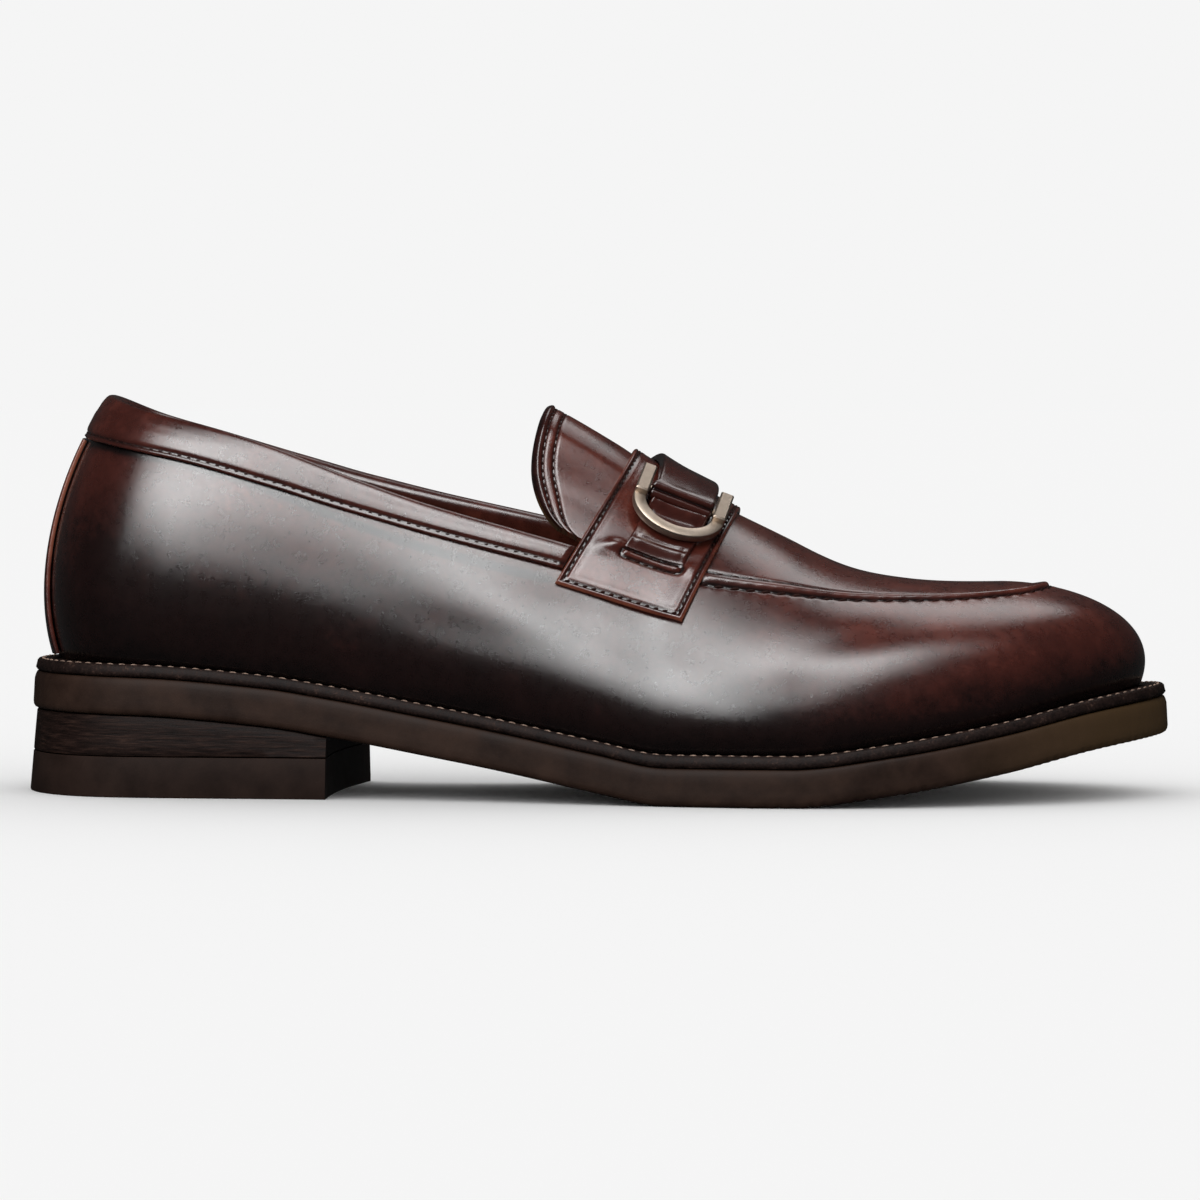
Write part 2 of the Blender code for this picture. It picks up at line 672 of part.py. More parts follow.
def upper_places(side, turns):
    # Rows of the upper from the welt to its edge, one column of places for each section.
    edge = opening_place(side, turns)
    line = np.minimum(row_line(side, turns), edge - EDGE_ROOM)
    below = [line * share for share in np.linspace(0, 1, ROWS_BELOW + 1)[:-1]]
    ridge = [line + SEAM_STEP * k for k in range(3)]
    above = [ridge[-1] + (edge - ridge[-1]) * share for share in np.linspace(0, 1, ROWS_ABOVE + 1)[1:]]
    rise = np.zeros((ROWS_BELOW + 3 + ROWS_ABOVE, len(turns)))
    rise[ROWS_BELOW + 1] = seam_rise(side, turns)
    return np.array(below + ridge + above), rise


def upper_skin(side, turns, depth):
    # One face of the wall. Both sides share their points on the crest, the back and the toe.
    places, rise = upper_places(side, turns)
    spread = np.broadcast_to(turns, places.shape)
    grid = lifted(side, spread, places, rise - depth)
    shared = places == 1
    shared[:, [0, -1]] = True
    places, rise = upper_places(OUTER, turns)
    grid[shared] = lifted(OUTER, spread, places, rise - depth)[shared]
    grid[0, :, 2] = welt_top(grid[0, :, 0]) + FIT_GAP
    return grid, opening_place(side, turns) < 1


def make_upper(finish):
    points, faces, count = [], [], 0
    for side in (OUTER, INNER):
        outside, open_top = upper_skin(side, turns, 0)
        inside, _ = upper_skin(side, turns, WALL)
        rows, columns = outside.shape[:2]
        size = rows * columns
        faces += quads(rows, columns, count) + quads(rows, columns, count + size)
        for c in range(columns - 1):
            foot, top = count + c, count + size - columns + c
            faces.append((foot, foot + 1, foot + 1 + size, foot + size))
            if open_top[c]:
                faces.append((top, top + 1, top + 1 + size, top + size))
        points += [outside.reshape(-1, 3), inside.reshape(-1, 3)]
        count += 2 * size
    finish_object("upper", mesh_of("upper", np.concatenate(points), faces), finish)


def binding_ring(side, share):
    # One cross-section of the binding: up the outside, over the topline, down the inside and back.
    end = binding_end[side]
    turn = np.asarray(end * share)
    edge = place_at_height(side, turn, topline_height[side](along_of(turn)))
    band = place_at_height(side, turn, band_height(along_of(turn)))
    end_edge = place_at_height(side, end, topline_height[side](along_of(end)))
    lean = smooth((share - BINDING_LEAN) / (1 - BINDING_LEAN))

    def ride(place, lift):
        # Near its end the ring leans with the saddle's edge.
        square = turn_across(side, saddle_back - FIT_GAP, end_edge + place - edge)
        return lifted(side, turn + (square - end) * lean, place, lift)

    rim = ride(edge, 0.0)
    outward = ride(edge, 1.0 * MM) - rim
    outward /= np.linalg.norm(outward)
    upward = rim - ride(edge - 2 * PLACE_STEP, 0.0)
    upward /= np.linalg.norm(upward)
    thick = LAY_GAP + BINDING_THICK
    inside = WALL + LAY_GAP
    return [
        ride(band, LAY_GAP),
        ride(band, LAY_GAP + BINDING_FOLD * BINDING_THICK),
        ride(band + (edge - band) * BINDING_LOW, thick),
        ride(band + (edge - band) * BINDING_HIGH, thick * BINDING_PUFF),
        rim + outward * thick * BINDING_BROW + upward * BINDING_CROWN * BINDING_ROUND,
        rim - outward * WALL * BINDING_ROUND + upward * BINDING_CROWN,
        rim - outward * (inside + BINDING_THICK * BINDING_CHIN) + upward * BINDING_CROWN * BINDING_ROUND,
        rim - outward * (inside + BINDING_THICK * BINDING_HEM) - upward * BINDING_INSIDE,
        rim - outward * inside - upward * BINDING_INSIDE,
        rim - outward * inside + upward * LAY_GAP,
        rim + outward * LAY_GAP + upward * LAY_GAP,
        ride(band + (edge - band) * BINDING_HIGH, LAY_GAP),
        ride(band + (edge - band) * BINDING_LOW, LAY_GAP),
    ]


def make_binding(finish):
    steps = np.linspace(0, 1, BINDING_STEPS + 1)
    rings = [binding_ring(OUTER, share) for share in steps[::-1]]
    rings += [binding_ring(INNER, share) for share in steps[1:]]
    finish_object("collar_binding", swept_mesh("collar_binding", rings), finish)


def make_heel_strip(finish):
    # The strap up the back seam, from the welt to the binding, wider at its foot.
    under, over = [], []
    rows = np.linspace(0, 1, STRIP_ROWS + 1)
    half_width = STRIP_HALF_WIDTH + (STRIP_HALF_FOOT - STRIP_HALF_WIDTH) * (1 - rows)**2
    reach = turn_of(half_width**2 / 2 / HEEL_RADIUS)
    for side, shares in ((OUTER, np.linspace(1, 0, 6)), (INNER, np.linspace(0, 1, 6)[1:])):
        for share in shares:
            turns = reach * share
            tops = place_at_height(side, turns, band_height(along_of(turns)) - 2 * LAY_GAP)
            places = STRIP_START + (tops - STRIP_START) * rows
            under.append(lifted(side, turns, places, np.full(len(rows), LAY_GAP)))
            over.append(lifted(side, turns, places, np.full(len(rows), LAY_GAP + STRIP_THICK)))
    slab("heel_strip", np.array(under), np.array(over), finish)


def on_crest(aheads, places, lifts):
    # Points laid across the crest. A place runs up the outer side to 1 on the crest, and on past 1
    # down the inner side.
    aheads, places, lifts = np.broadcast_arrays(np.asarray(aheads, float), places, lifts)
    points = np.zeros((*places.shape, 3))
    for side, chosen in ((OUTER, places <= 1), (INNER, places > 1)):
        own = np.where(places > 1, 2 - places, places)[chosen]
        points[chosen] = lifted(side, turn_across(side, aheads[chosen], own), own, lifts[chosen])
    return points


def make_saddle(finish):
    # Its lower edges slope with the sole; a row of the grid runs from outer edge to inner edge.
    aheads = np.linspace(saddle_back, saddle_front, SADDLE_STEPS + 1)
    share = (aheads - saddle_back) / SADDLE_WIDTH
    drop = SADDLE_BACK_DROP + (SADDLE_FRONT_DROP - SADDLE_BACK_DROP) * share
    ends = {side: place_across(side, aheads, saddle_centre[2] - drop) for side in (OUTER, INNER)}
    across = np.linspace(-1, 1, 2 * SADDLE_ROWS + 1)[None, :]
    places = np.where(across <= 0, 1 + across * (1 - ends[OUTER])[:, None], 1 + across * (1 - ends[INNER])[:, None])
    side_share = abs(across)
    aheads = (aheads[:, None] - SADDLE_PEAK * (1 - share)[:, None] * (1 - side_share)**2
              + share[:, None] * (SADDLE_FLARE * side_share**2 - SADDLE_DIP * (1 - side_share)))
    under = on_crest(aheads, places, LAY_GAP)
    over = on_crest(aheads, places, LAY_GAP + SADDLE_THICK)
    slab("saddle", under, over, finish)


def make_tongue(finish):
    # A rounded flap that starts at the throat, rises behind the saddle and dips inside the collar.
    across = np.linspace(-1, 1, 2 * TONGUE_ROWS + 1)
    front = throat_line - 2 * FIT_GAP
    round_end = 1 - np.sqrt(1 - (abs(across) * TONGUE_CORNER)**TONGUE_POWER)
    back = saddle_back - TONGUE_REACH * (1 - TONGUE_ROUND * round_end)
    shares = np.linspace(0, 1, TONGUE_STEPS + 1)
    aheads = front + (back - front)[None, :] * shares[:, None]
    places = 1 + across * (1 - TONGUE_FOOT)
    sink = smooth((abs(across) - TONGUE_DIP) / TONGUE_DIP) * (WALL + BINDING_THICK + 2 * LAY_GAP)
    under = on_crest(aheads, places, -sink - TONGUE_THICK)
    over = on_crest(aheads, places, -sink)
    slab("tongue", under, over, finish)


BarFrame = namedtuple("BarFrame", "place tilt middle forward downhill outward")


def strap_middle(side, place):
    # The strap's own middle line, which turns with the toe: forward down the outer side, back down the inner.
    return STRAP_SHIFT - side * STRAP_SKEW * (1 - place)


def on_strap(aheads, spots, lifts):
    # Points on the strap's line; a spot runs up the outer side to 1 and on past 1 down the inner.
    return on_crest(aheads + STRAP_SHIFT + STRAP_SKEW * (1 - spots), spots, lifts)


def square_to(direction, forward):
    # The direction with its forward part taken out, at length one.
    direction = direction - forward * (direction @ forward)
    return direction / np.linalg.norm(direction)


def frame_of_bar(side):
    # The ring's bar lies along the side of the instep, a little below the crest, square to the strap.
    # Its tilt is how far its place rises for a metre ahead.
    def middle(place, ahead=0.0):
        return lifted(side, turn_across(side, strap_middle(side, place) + ahead, place), place, BAR_LIFT)
    below = BAR_BELOW if side == OUTER else INNER_BAR_BELOW
    place = float(halved(lambda place: above_crest(middle(place)) < -below, SEARCH_LOW, 1.0))
    level = middle(place, BRIDGE_WIDTH / 2) - middle(place, -BRIDGE_WIDTH / 2)
    down = (middle(place - PLACE_STEP) - middle(place)) / PLACE_STEP
    tilt = -(down @ level) / (down @ down) / BRIDGE_WIDTH
    forward = (middle(place - tilt * BRIDGE_WIDTH / 2, BRIDGE_WIDTH / 2)
               - middle(place + tilt * BRIDGE_WIDTH / 2, -BRIDGE_WIDTH / 2))
    forward /= np.linalg.norm(forward)
    outward = square_to(last_normal(side, turn_across(side, strap_middle(side, place), place), place), forward)
    downhill = np.cross(forward, outward) * -side
    return BarFrame(place, tilt, middle(place), forward, downhill, outward)


bar_frames = {side: frame_of_bar(side) for side in (OUTER, INNER)}


def place_below_bar(side, distance):
    place = bar_frames[side].place
    start = last_point(side, turn_across(side, strap_middle(side, place), place), place)
    return float(halved(lambda low: np.linalg.norm(
        last_point(side, turn_across(side, strap_middle(side, low), low), low) - start) > distance, SEARCH_LOW, place))


def make_tab(name, side, finish):
    # The strap end on the saddle: it leaves its slot, passes under the ring and curls up to the bar.
    top = place_below_bar(side, HOOK_RADIUS + CURL_CLEAR)
    foot = place_below_bar(side, TAB_REACH)
    ease = place_below_bar(side, HOOK_RADIUS + CURL_CLEAR + CURL_LENGTH)
    aheads = np.linspace(-TAB_WIDTH / 2, TAB_WIDTH / 2, TAB_COLUMNS + 1)[:, None]
    places = np.linspace(foot, top, TAB_ROWS + 1) - bar_frames[side].tilt * aheads
    curl = CURL_RISE * smooth((np.linspace(foot, top, TAB_ROWS + 1) - ease) / (top - ease))**CURL_POWER
    base = 2 * LAY_GAP + SADDLE_THICK
    spots = places if side == OUTER else 2 - places
    under = on_strap(aheads, spots, base + curl)
    over = on_strap(aheads, spots, base + curl + TAB_THICK)
    slab(name, under, over, finish)


def make_bridge(finish):
    # The strap over the crest: each end hooks round a ring's bar and tucks in under it.
    lifts = {
        "over": (2 * LAY_GAP + SADDLE_THICK + BRIDGE_THICK, BAR_LIFT + HOOK_RADIUS),
        "under": (2 * LAY_GAP + SADDLE_THICK, BAR_LIFT + BAR_RADIUS + FIT_GAP),
    }
    angles = np.radians(np.linspace(90, HOOK_END, HOOK_STEPS + 1))

    def crossing(ahead, which):
        # From one bar's top over the crest to the other's.
        found = []
        for side in (OUTER, INNER):
            bar_place = bar_frames[side].place - bar_frames[side].tilt * ahead
            places = np.linspace(bar_place, 1, BRIDGE_ROWS + 1)
            rest, at_bar = lifts[which]
            lift = rest + (at_bar - rest) * ((1 - places) / (1 - bar_place))**BRIDGE_POWER
            spots = places if side == OUTER else 2 - places
            run = on_strap(ahead, spots, lift)
            run = run[1:] if side == OUTER else run[1:-1][::-1]
            found.extend(run)
        return found

    def hook(side, ahead, radius):
        bar = bar_frames[side]
        middle = bar.middle + bar.forward * ahead
        return [middle + (bar.downhill * math.cos(a) + bar.outward * math.sin(a)) * radius for a in angles]

    rings = []
    for ahead in np.linspace(-BRIDGE_WIDTH / 2, BRIDGE_WIDTH / 2, BRIDGE_STEPS + 1):
        inner_radius = BAR_RADIUS + FIT_GAP
        rings.append(hook(OUTER, ahead, HOOK_RADIUS)[::-1] + crossing(ahead, "over")
                     + hook(INNER, ahead, HOOK_RADIUS) + hook(INNER, ahead, inner_radius)[::-1]
                     + crossing(ahead, "under")[::-1] + hook(OUTER, ahead, inner_radius))
    finish_object("bridge_strap", swept_mesh("bridge_strap", rings), finish)


def box_mesh(name, frame, low, high):
    corners = [(a, b, c) for a in (low[0], high[0]) for b in (low[1], high[1]) for c in (low[2], high[2])]
    faces = [(0, 1, 3, 2), (4, 5, 7, 6), (0, 1, 5, 4), (2, 3, 7, 6), (0, 2, 6, 4), (1, 3, 7, 5)]
    return mesh_of(name, [frame(*corner) for corner in corners], faces)


def make_ring(name, side, finish):
    # A D ring: a flat bow, two raised lugs and the round bar between them, joined as one.
    bar = bar_frames[side]
    low = place_below_bar(side, RING_DEPTH - RING_BAND / 2)
    rest = 3 * LAY_GAP + SADDLE_THICK + TAB_THICK + RING_THICK / 2 + RING_CLEAR
    seat = lifted(side, turn_across(side, strap_middle(side, low), low), low, rest)
    downhill = square_to(seat - bar.middle, bar.forward)
    outward = np.cross(bar.forward, downhill) * side

    def frame(ahead, down, out):
        return bar.middle + bar.forward * ahead + downhill * down + outward * out

    half = RING_WIDTH / 2
    start = LUG_LONG / 2 - LUG_OVERLAP
    sweep = np.linspace(0, math.pi, BOW_STEPS + 1)
    rings = []
    for angle in sweep:
        ring = []
        for wide, deep, out in ((half, RING_DEPTH - start, -1), (half, RING_DEPTH - start, 1),
                                (half - RING_BAND, RING_DEPTH - RING_BAND - start, 1),
                                (half - RING_BAND, RING_DEPTH - RING_BAND - start, -1)):
            ring.append(frame(math.cos(angle) * wide, start + math.sin(angle) * deep, out * RING_THICK / 2))
        rings.append(ring)
    parts = [swept_mesh(name, rings)]
    rod = []
    for ahead in (-half + LUG_WIDE / 2, half - LUG_WIDE / 2):
        rod.append([frame(ahead, math.cos(t) * BAR_RADIUS, math.sin(t) * BAR_RADIUS)
                    for t in np.linspace(0, 2 * math.pi, 12, endpoint=False)])
    parts.append(swept_mesh(name + "_bar", rod))
    for end in (-1, 1):
        sides = sorted([end * (half + LUG_PROUD), end * (half - LUG_WIDE)])
        parts.append(box_mesh(name + "_lug", frame, (sides[0], -LUG_LONG / 2, -RING_THICK / 2 - LUG_PROUD),
                              (sides[1], LUG_LONG / 2, LUG_TOP)))
    join_solids(name, parts, finish)


def join_solids(name, meshes, finish):
    # One solid from overlapping ones; the pieces joined on are taken out of the scene again.
    made = finish_object(name, meshes[0], finish)
    for mesh in meshes[1:]:
        piece = finish_object(mesh.name, mesh, finish)
        joint = made.modifiers.new("join", "BOOLEAN")
        joint.operation = "UNION"
        joint.solver = "EXACT"
        joint.object = piece
        bpy.context.view_layer.update()
        result = bpy.data.meshes.new_from_object(made.evaluated_get(bpy.context.evaluated_depsgraph_get()))
        made.modifiers.clear()
        made.data = result
        bpy.data.objects.remove(piece, do_unlink=True)
    made.data.name = name
    return made


clear_scene()
assembly = bpy.data.objects.new("shoe", None)
bpy.context.scene.collection.objects.link(assembly)
widths = outline_side(np.linspace(0, 2 * math.pi, 721))
origin_shift = Vector((-(SOLE_LENGTH - HEEL_FLARE + TREAD_STEP) / 2, -float(widths.max() + widths.min()) / 2, 0))
throat_start = min(throat_foot.values())
throat_top = float(turn_across(OUTER, throat_line, 1.0))
turns = np.concatenate([
    np.linspace(0, throat_start, BACK_COLUMNS + 1)[:-1],
    np.linspace(throat_start, throat_top, THROAT_COLUMNS + 1)[:-1],
    np.linspace(throat_top, math.pi, FRONT_COLUMNS + 1),
])

leather = material("upper_leather", (0.085, 0.022, 0.014), 0.30)
strap_leather = material("strap_leather", (0.080, 0.022, 0.015), 0.32)
sole_rubber = material("sole_rubber", (0.035, 0.022, 0.016), 0.62)
welt_leather = material("welt_leather", (0.030, 0.016, 0.012), 0.55)
heel_leather = material("heel_leather", (0.026, 0.014, 0.012), 0.60)
lining = material("lining_leather", (0.42, 0.26, 0.12), 0.55)
nickel = material("nickel", (0.62, 0.54, 0.46), 0.30, 1.0)

make_outsole(sole_rubber)
make_welt(welt_leather)
make_insole(lining)
make_heel(heel_leather, sole_rubber)
make_upper(leather)
make_binding(leather)
make_heel_strip(leather)
make_saddle(strap_leather)
make_tongue(leather)
make_tab("tab_outer", OUTER, strap_leather)
make_tab("tab_inner", INNER, strap_leather)
make_bridge(strap_leather)
make_ring("ring_outer", OUTER, nickel)
make_ring("ring_inner", INNER, nickel)
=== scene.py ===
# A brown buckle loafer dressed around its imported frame. Metres, toe along +X, outer side along -Y.
import math

import bmesh
import bpy
import numpy as np
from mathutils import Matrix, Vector


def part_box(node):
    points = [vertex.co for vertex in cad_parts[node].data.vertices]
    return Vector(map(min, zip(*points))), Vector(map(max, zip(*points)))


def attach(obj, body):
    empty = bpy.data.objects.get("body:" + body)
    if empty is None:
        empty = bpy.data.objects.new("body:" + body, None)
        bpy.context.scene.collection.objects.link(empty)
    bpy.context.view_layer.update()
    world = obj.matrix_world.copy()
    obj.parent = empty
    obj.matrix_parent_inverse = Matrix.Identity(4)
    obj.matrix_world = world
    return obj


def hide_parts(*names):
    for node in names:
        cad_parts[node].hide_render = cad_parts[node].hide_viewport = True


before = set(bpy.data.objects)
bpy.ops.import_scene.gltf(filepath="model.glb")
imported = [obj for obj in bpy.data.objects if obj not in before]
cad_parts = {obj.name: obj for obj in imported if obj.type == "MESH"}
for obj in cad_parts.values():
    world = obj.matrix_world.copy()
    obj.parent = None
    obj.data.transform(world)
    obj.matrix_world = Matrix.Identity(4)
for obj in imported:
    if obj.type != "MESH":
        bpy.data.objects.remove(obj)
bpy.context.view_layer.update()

mm = 0.001
outer, inner = -1, 1        # the sides of the foot, by the sign of Y
sides = (outer, inner)

last = {
    "soleLength": 302 * mm,
    "ballWidth": 109 * mm,
    "heelPitch": 22 * mm,
    "toeSpring": 16.5 * mm,
    "outsoleThick": 9.8 * mm,
    "weltThick": 3.1 * mm,
    "weltSlant": 1.4 * mm,      # how far the welt's top edge stands in from the outline
    "instepHeight": 82.7 * mm,
    "backHeight": 70 * mm,
    "wall": 2.0 * mm,
    "fitGap": 0.3 * mm,
    "layGap": 0.35 * mm,
}


def table(columns, rows):
    # A short table with named columns.
    return {name: np.array([row[k] for row in rows], float) for k, name in enumerate(columns.split())}


outline = table("along outer inner", [      # shares of the sole's length and the ball width
    (0.000, -0.014, 0.014),
    (0.017, 0.152, 0.180),
    (0.057, 0.262, 0.286),
    (0.132, 0.304, 0.320),
    (0.248, 0.312, 0.298),
    (0.364, 0.344, 0.268),
    (0.480, 0.413, 0.303),
    (0.580, 0.472, 0.390),
    (0.662, 0.498, 0.464),
    (0.745, 0.480, 0.504),
    (0.828, 0.415, 0.478),
    (0.897, 0.318, 0.417),
    (0.954, 0.192, 0.322),
    (0.987, 0.062, 0.208),
    (1.000, -0.069, 0.069),
])
tread = table("along heel toe", [       # height of the outsole's underside
    (0.00, 1.000, 0.0),
    (0.11, 0.975, 0.0),
    (0.22, 0.860, 0.0),
    (0.28, 0.735, 0.0),
    (0.36, 0.540, 0.0),
    (0.43, 0.370, 0.0),
    (0.515, 0.140, 0.0),
    (0.575, 0.0, 0.0),
    (0.680, 0.0, 0.0),
    (0.77, 0.0, 0.190),
    (0.86, 0.0, 0.490),
    (0.94, 0.0, 0.830),
    (1.00, 0.0, 1.000),
])
margins = table("along margin", [       # how far the welt shows around the upper
    (0.00, 5.6 * mm),
    (0.12, 3.1 * mm),
    (0.40, 2.3 * mm),
    (0.66, 3.8 * mm),
    (0.90, 4.8 * mm),
    (1.00, 5.9 * mm),
])
crest = table("along height shift", [
    (0.146, 1.030, 0.018),
    (0.232, 1.085, 0.022),
    (0.298, 1.105, 0.028),
    (0.364, 1.085, 0.036),
    (0.459, 1.000, 0.048),
    (0.538, 0.885, 0.053),
    (0.626, 0.727, 0.055),
    (0.679, 0.632, 0.054),
    (0.722, 0.551, 0.053),
    (0.766, 0.494, 0.054),
    (0.819, 0.450, 0.057),
    (0.854, 0.426, 0.060),
])
sections = table("along crest bellyOut bellyUp shoulderOut shoulderUp crownOut", [
    (0.000, 0.146, 1.26, 0.35, 0.79, 0.80, 0.40),
    (0.057, 0.165, 1.25, 0.35, 0.80, 0.80, 0.40),
    (0.132, 0.205, 1.22, 0.35, 0.80, 0.80, 0.37),
    (0.298, 0.315, 1.20, 0.35, 0.74, 0.78, 0.30),
    (0.430, 0.432, 1.16, 0.35, 0.69, 0.75, 0.26),
    (0.530, 0.530, 1.12, 0.35, 0.65, 0.72, 0.24),
    (0.630, 0.628, 1.11, 0.34, 0.69, 0.74, 0.24),
    (0.722, 0.712, 1.10, 0.30, 0.84, 0.78, 0.28),
    (0.812, 0.775, 1.09, 0.30, 0.93, 0.78, 0.38),
    (0.920, 0.832, 1.09, 0.32, 1.00, 0.74, 0.47),
    (1.000, 0.854, 1.10, 0.33, 1.05, 0.73, 0.50),
])
topline = table("along outer inner", [      # shares of the back height
    (0.000, 0.978, 0.978),
    (0.057, 0.940, 0.923),
    (0.132, 0.888, 0.858),
    (0.180, 0.858, 0.820),
    (0.240, 0.807, 0.780),
    (0.338, 0.732, 0.746),
    (0.425, 0.690, 0.728),
    (0.497, 0.665, 0.718),
])
band = table("along height", [
    (0.000, 0.835),
    (0.100, 0.785),
    (0.166, 0.742),
    (0.252, 0.680),
    (0.340, 0.638),
    (0.426, 0.605),
    (0.497, 0.585),
])
apron = table("along place", [
    (0.497, 0.46),
    (0.600, 0.50),
    (0.660, 0.555),
    (0.722, 0.63),
    (0.790, 0.685),
    (0.860, 0.72),
    (0.940, 0.765),
    (1.000, 0.82),
])


def spline(xs, ys):
    # Natural cubic spline through the points.
    xs, ys = np.asarray(xs, float), np.asarray(ys, float)
    step = np.diff(xs)
    matrix = np.eye(len(xs))
    right = np.zeros(len(xs))
    for k in range(1, len(xs) - 1):
        matrix[k, k - 1:k + 2] = step[k - 1], 2 * (step[k - 1] + step[k]), step[k]
        right[k] = 6 * ((ys[k + 1] - ys[k]) / step[k] - (ys[k] - ys[k - 1]) / step[k - 1])
    bend = np.linalg.solve(matrix, right)

    def at(x):
        x = np.clip(np.asarray(x, float), xs[0], xs[-1])
        k = np.clip(np.searchsorted(xs, x) - 1, 0, len(step) - 1)
        a, b, h = xs[k + 1] - x, x - xs[k], step[k]
        return ((bend[k] * a**3 + bend[k + 1] * b**3) / (6 * h)
                + (ys[k] / h - bend[k] * h / 6) * a + (ys[k + 1] / h - bend[k + 1] * h / 6) * b)
    return at


def levelSpline(xs, ys):
    # Monotone cubic: flat where the points are, and it never overshoots.
    xs, ys = np.asarray(xs, float), np.asarray(ys, float)
    step = np.diff(xs)
    rise = np.diff(ys) / step
    slope = np.zeros(len(xs))
    for k in range(1, len(xs) - 1):
        if rise[k - 1] * rise[k] > 0:
            slope[k] = 2 * rise[k - 1] * rise[k] / (rise[k - 1] + rise[k])
    slope[-1] = rise[-1]

    def at(x):
        x = np.clip(np.asarray(x, float), xs[0], xs[-1])
        k = np.clip(np.searchsorted(xs, x) - 1, 0, len(step) - 1)
        u = (x - xs[k]) / step[k]
        return ((1 + 2 * u) * (1 - u)**2 * ys[k] + u * (1 - u)**2 * step[k] * slope[k]
                + u**2 * (3 - 2 * u) * ys[k + 1] + u**2 * (u - 1) * step[k] * slope[k + 1])
    return at


def turnOf(along):
    # The last is walked by an angle: 0 at the heel's back, pi at the toe tip.
    return np.arccos(np.clip(1 - 2 * np.asarray(along, float) / last["soleLength"], -1, 1))


def alongOf(turn):
    return last["soleLength"] * (1 - np.cos(turn)) / 2


def closedOutline():
    turns = turnOf(outline["along"] * last["soleLength"])
    out = -outline["outer"] * last["ballWidth"]
    back = outline["inner"] * last["ballWidth"]
    loopTurns = np.concatenate([turns, (2 * math.pi - turns[1:-1])[::-1]])
    loopSides = np.concatenate([out, back[1:-1][::-1]])
    order = np.concatenate([loopTurns - 2 * math.pi, loopTurns, loopTurns + 2 * math.pi])
    return spline(order, np.tile(loopSides, 3))


def byAlong(rows, name, scale):
    return spline(rows["along"] * last["soleLength"], rows[name] * scale)


outlineSide = closedOutline()
underside = levelSpline(tread["along"] * last["soleLength"],
                        tread["heel"] * last["heelPitch"] + tread["toe"] * last["toeSpring"])
marginAt = byAlong(margins, "margin", 1)
crestHeight = byAlong(crest, "height", last["instepHeight"])
crestShift = byAlong(crest, "shift", last["ballWidth"])
crestAlong = byAlong(sections, "crest", last["soleLength"])
sectionShape = {name: byAlong(sections, name, 1) for name in list(sections)[2:]}
toplineHeight = {outer: byAlong(topline, "outer", last["backHeight"]),
                 inner: byAlong(topline, "inner", last["backHeight"])}
bandHeight = byAlong(band, "height", last["backHeight"])
seamPlace = byAlong(apron, "place", 1)

widths = outlineSide(np.linspace(0, 2 * math.pi, 721))
shift = np.array([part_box("outsole")[0].x, -(widths.max() + widths.min()) / 2, 0])


def weltTop(along):
    return underside(along) + last["outsoleThick"] + last["fitGap"] + last["weltThick"]


def unit(vectors):
    return vectors / np.linalg.norm(vectors, axis=-1, keepdims=True)


def outlinePoint(side, turn, inset):
    # A point of the sole's outline, moved in along its own normal.
    angle = np.asarray(turn, float) * -side
    small = 1e-4
    before = np.stack([alongOf(angle - small), outlineSide((angle - small) % (2 * math.pi))], -1)
    after = np.stack([alongOf(angle + small), outlineSide((angle + small) % (2 * math.pi))], -1)
    way = unit(after - before)
    point = np.stack([alongOf(angle), outlineSide(angle % (2 * math.pi))], -1)
    inward = np.stack([-way[..., 1], way[..., 0]], -1)
    return point + inward * np.asarray(inset, float)[..., None]


def lastPoint(side, turn, place):
    # The last: place 0 is the upper's foot on the welt, 1 the crest.
    turn, place = np.broadcast_arrays(np.asarray(turn, float), np.asarray(place, float))
    along = alongOf(turn)
    foot = outlinePoint(side, turn, last["weltSlant"] + marginAt(along))
    footZ = weltTop(foot[..., 0]) + last["fitGap"]
    topX = crestAlong(along)
    top = np.stack([topX, crestShift(topX)], -1)
    topZ = weltTop(topX) + crestHeight(topX)
    weights = [math.comb(4, k) * place**k * (1 - place)**(4 - k) for k in range(5)]
    shape = {name: curve(along) for name, curve in sectionShape.items()}
    out = (weights[0] + weights[1] * shape["bellyOut"] + weights[2] * shape["shoulderOut"]
           + weights[3] * shape["crownOut"])
    up = weights[1] * shape["bellyUp"] + weights[2] * shape["shoulderUp"] + weights[3] + weights[4]
    flat = top + (foot - top) * out[..., None]
    return np.concatenate([flat, (footZ + (topZ - footZ) * up)[..., None]], -1)


def lastNormal(side, turn, place):
    turn, place = np.broadcast_arrays(np.asarray(turn, float), np.asarray(place, float))
    small = 1e-4
    place = np.clip(place, small, 1 - 2 * small)
    ahead = lastPoint(side, turn + small, place) - lastPoint(side, turn - small, place)
    above = lastPoint(side, turn, place + small) - lastPoint(side, turn, place - small)
    return unit(np.cross(ahead, above) * -side)


def lifted(side, turn, place, lift):
    return lastPoint(side, turn, place) + lastNormal(side, turn, place) * np.asarray(lift, float)[..., None]


def halved(under, low, high):
    # The value between low and high where under stops being true.
    low, high = np.array(low, float), np.array(high, float)
    for _ in range(30):
        middle = (low + high) / 2
        short = under(middle)
        low, high = np.where(short, middle, low), np.where(short, high, middle)
    return (low + high) / 2


def placeAtHeight(side, turn, height):
    turn = np.asarray(turn, float)
    wanted = weltTop(alongOf(turn)) + height
    return halved(lambda place: lastPoint(side, turn, place)[..., 2] < wanted,
                  np.zeros(turn.shape), np.ones(turn.shape))


def toplinePlace(side, turn):
    return placeAtHeight(side, turn, toplineHeight[side](alongOf(turn)))


def bandPlace(side, turn, above=0.0):
    # The collar band's lower edge.
    return placeAtHeight(side, turn, bandHeight(alongOf(turn)) + above)


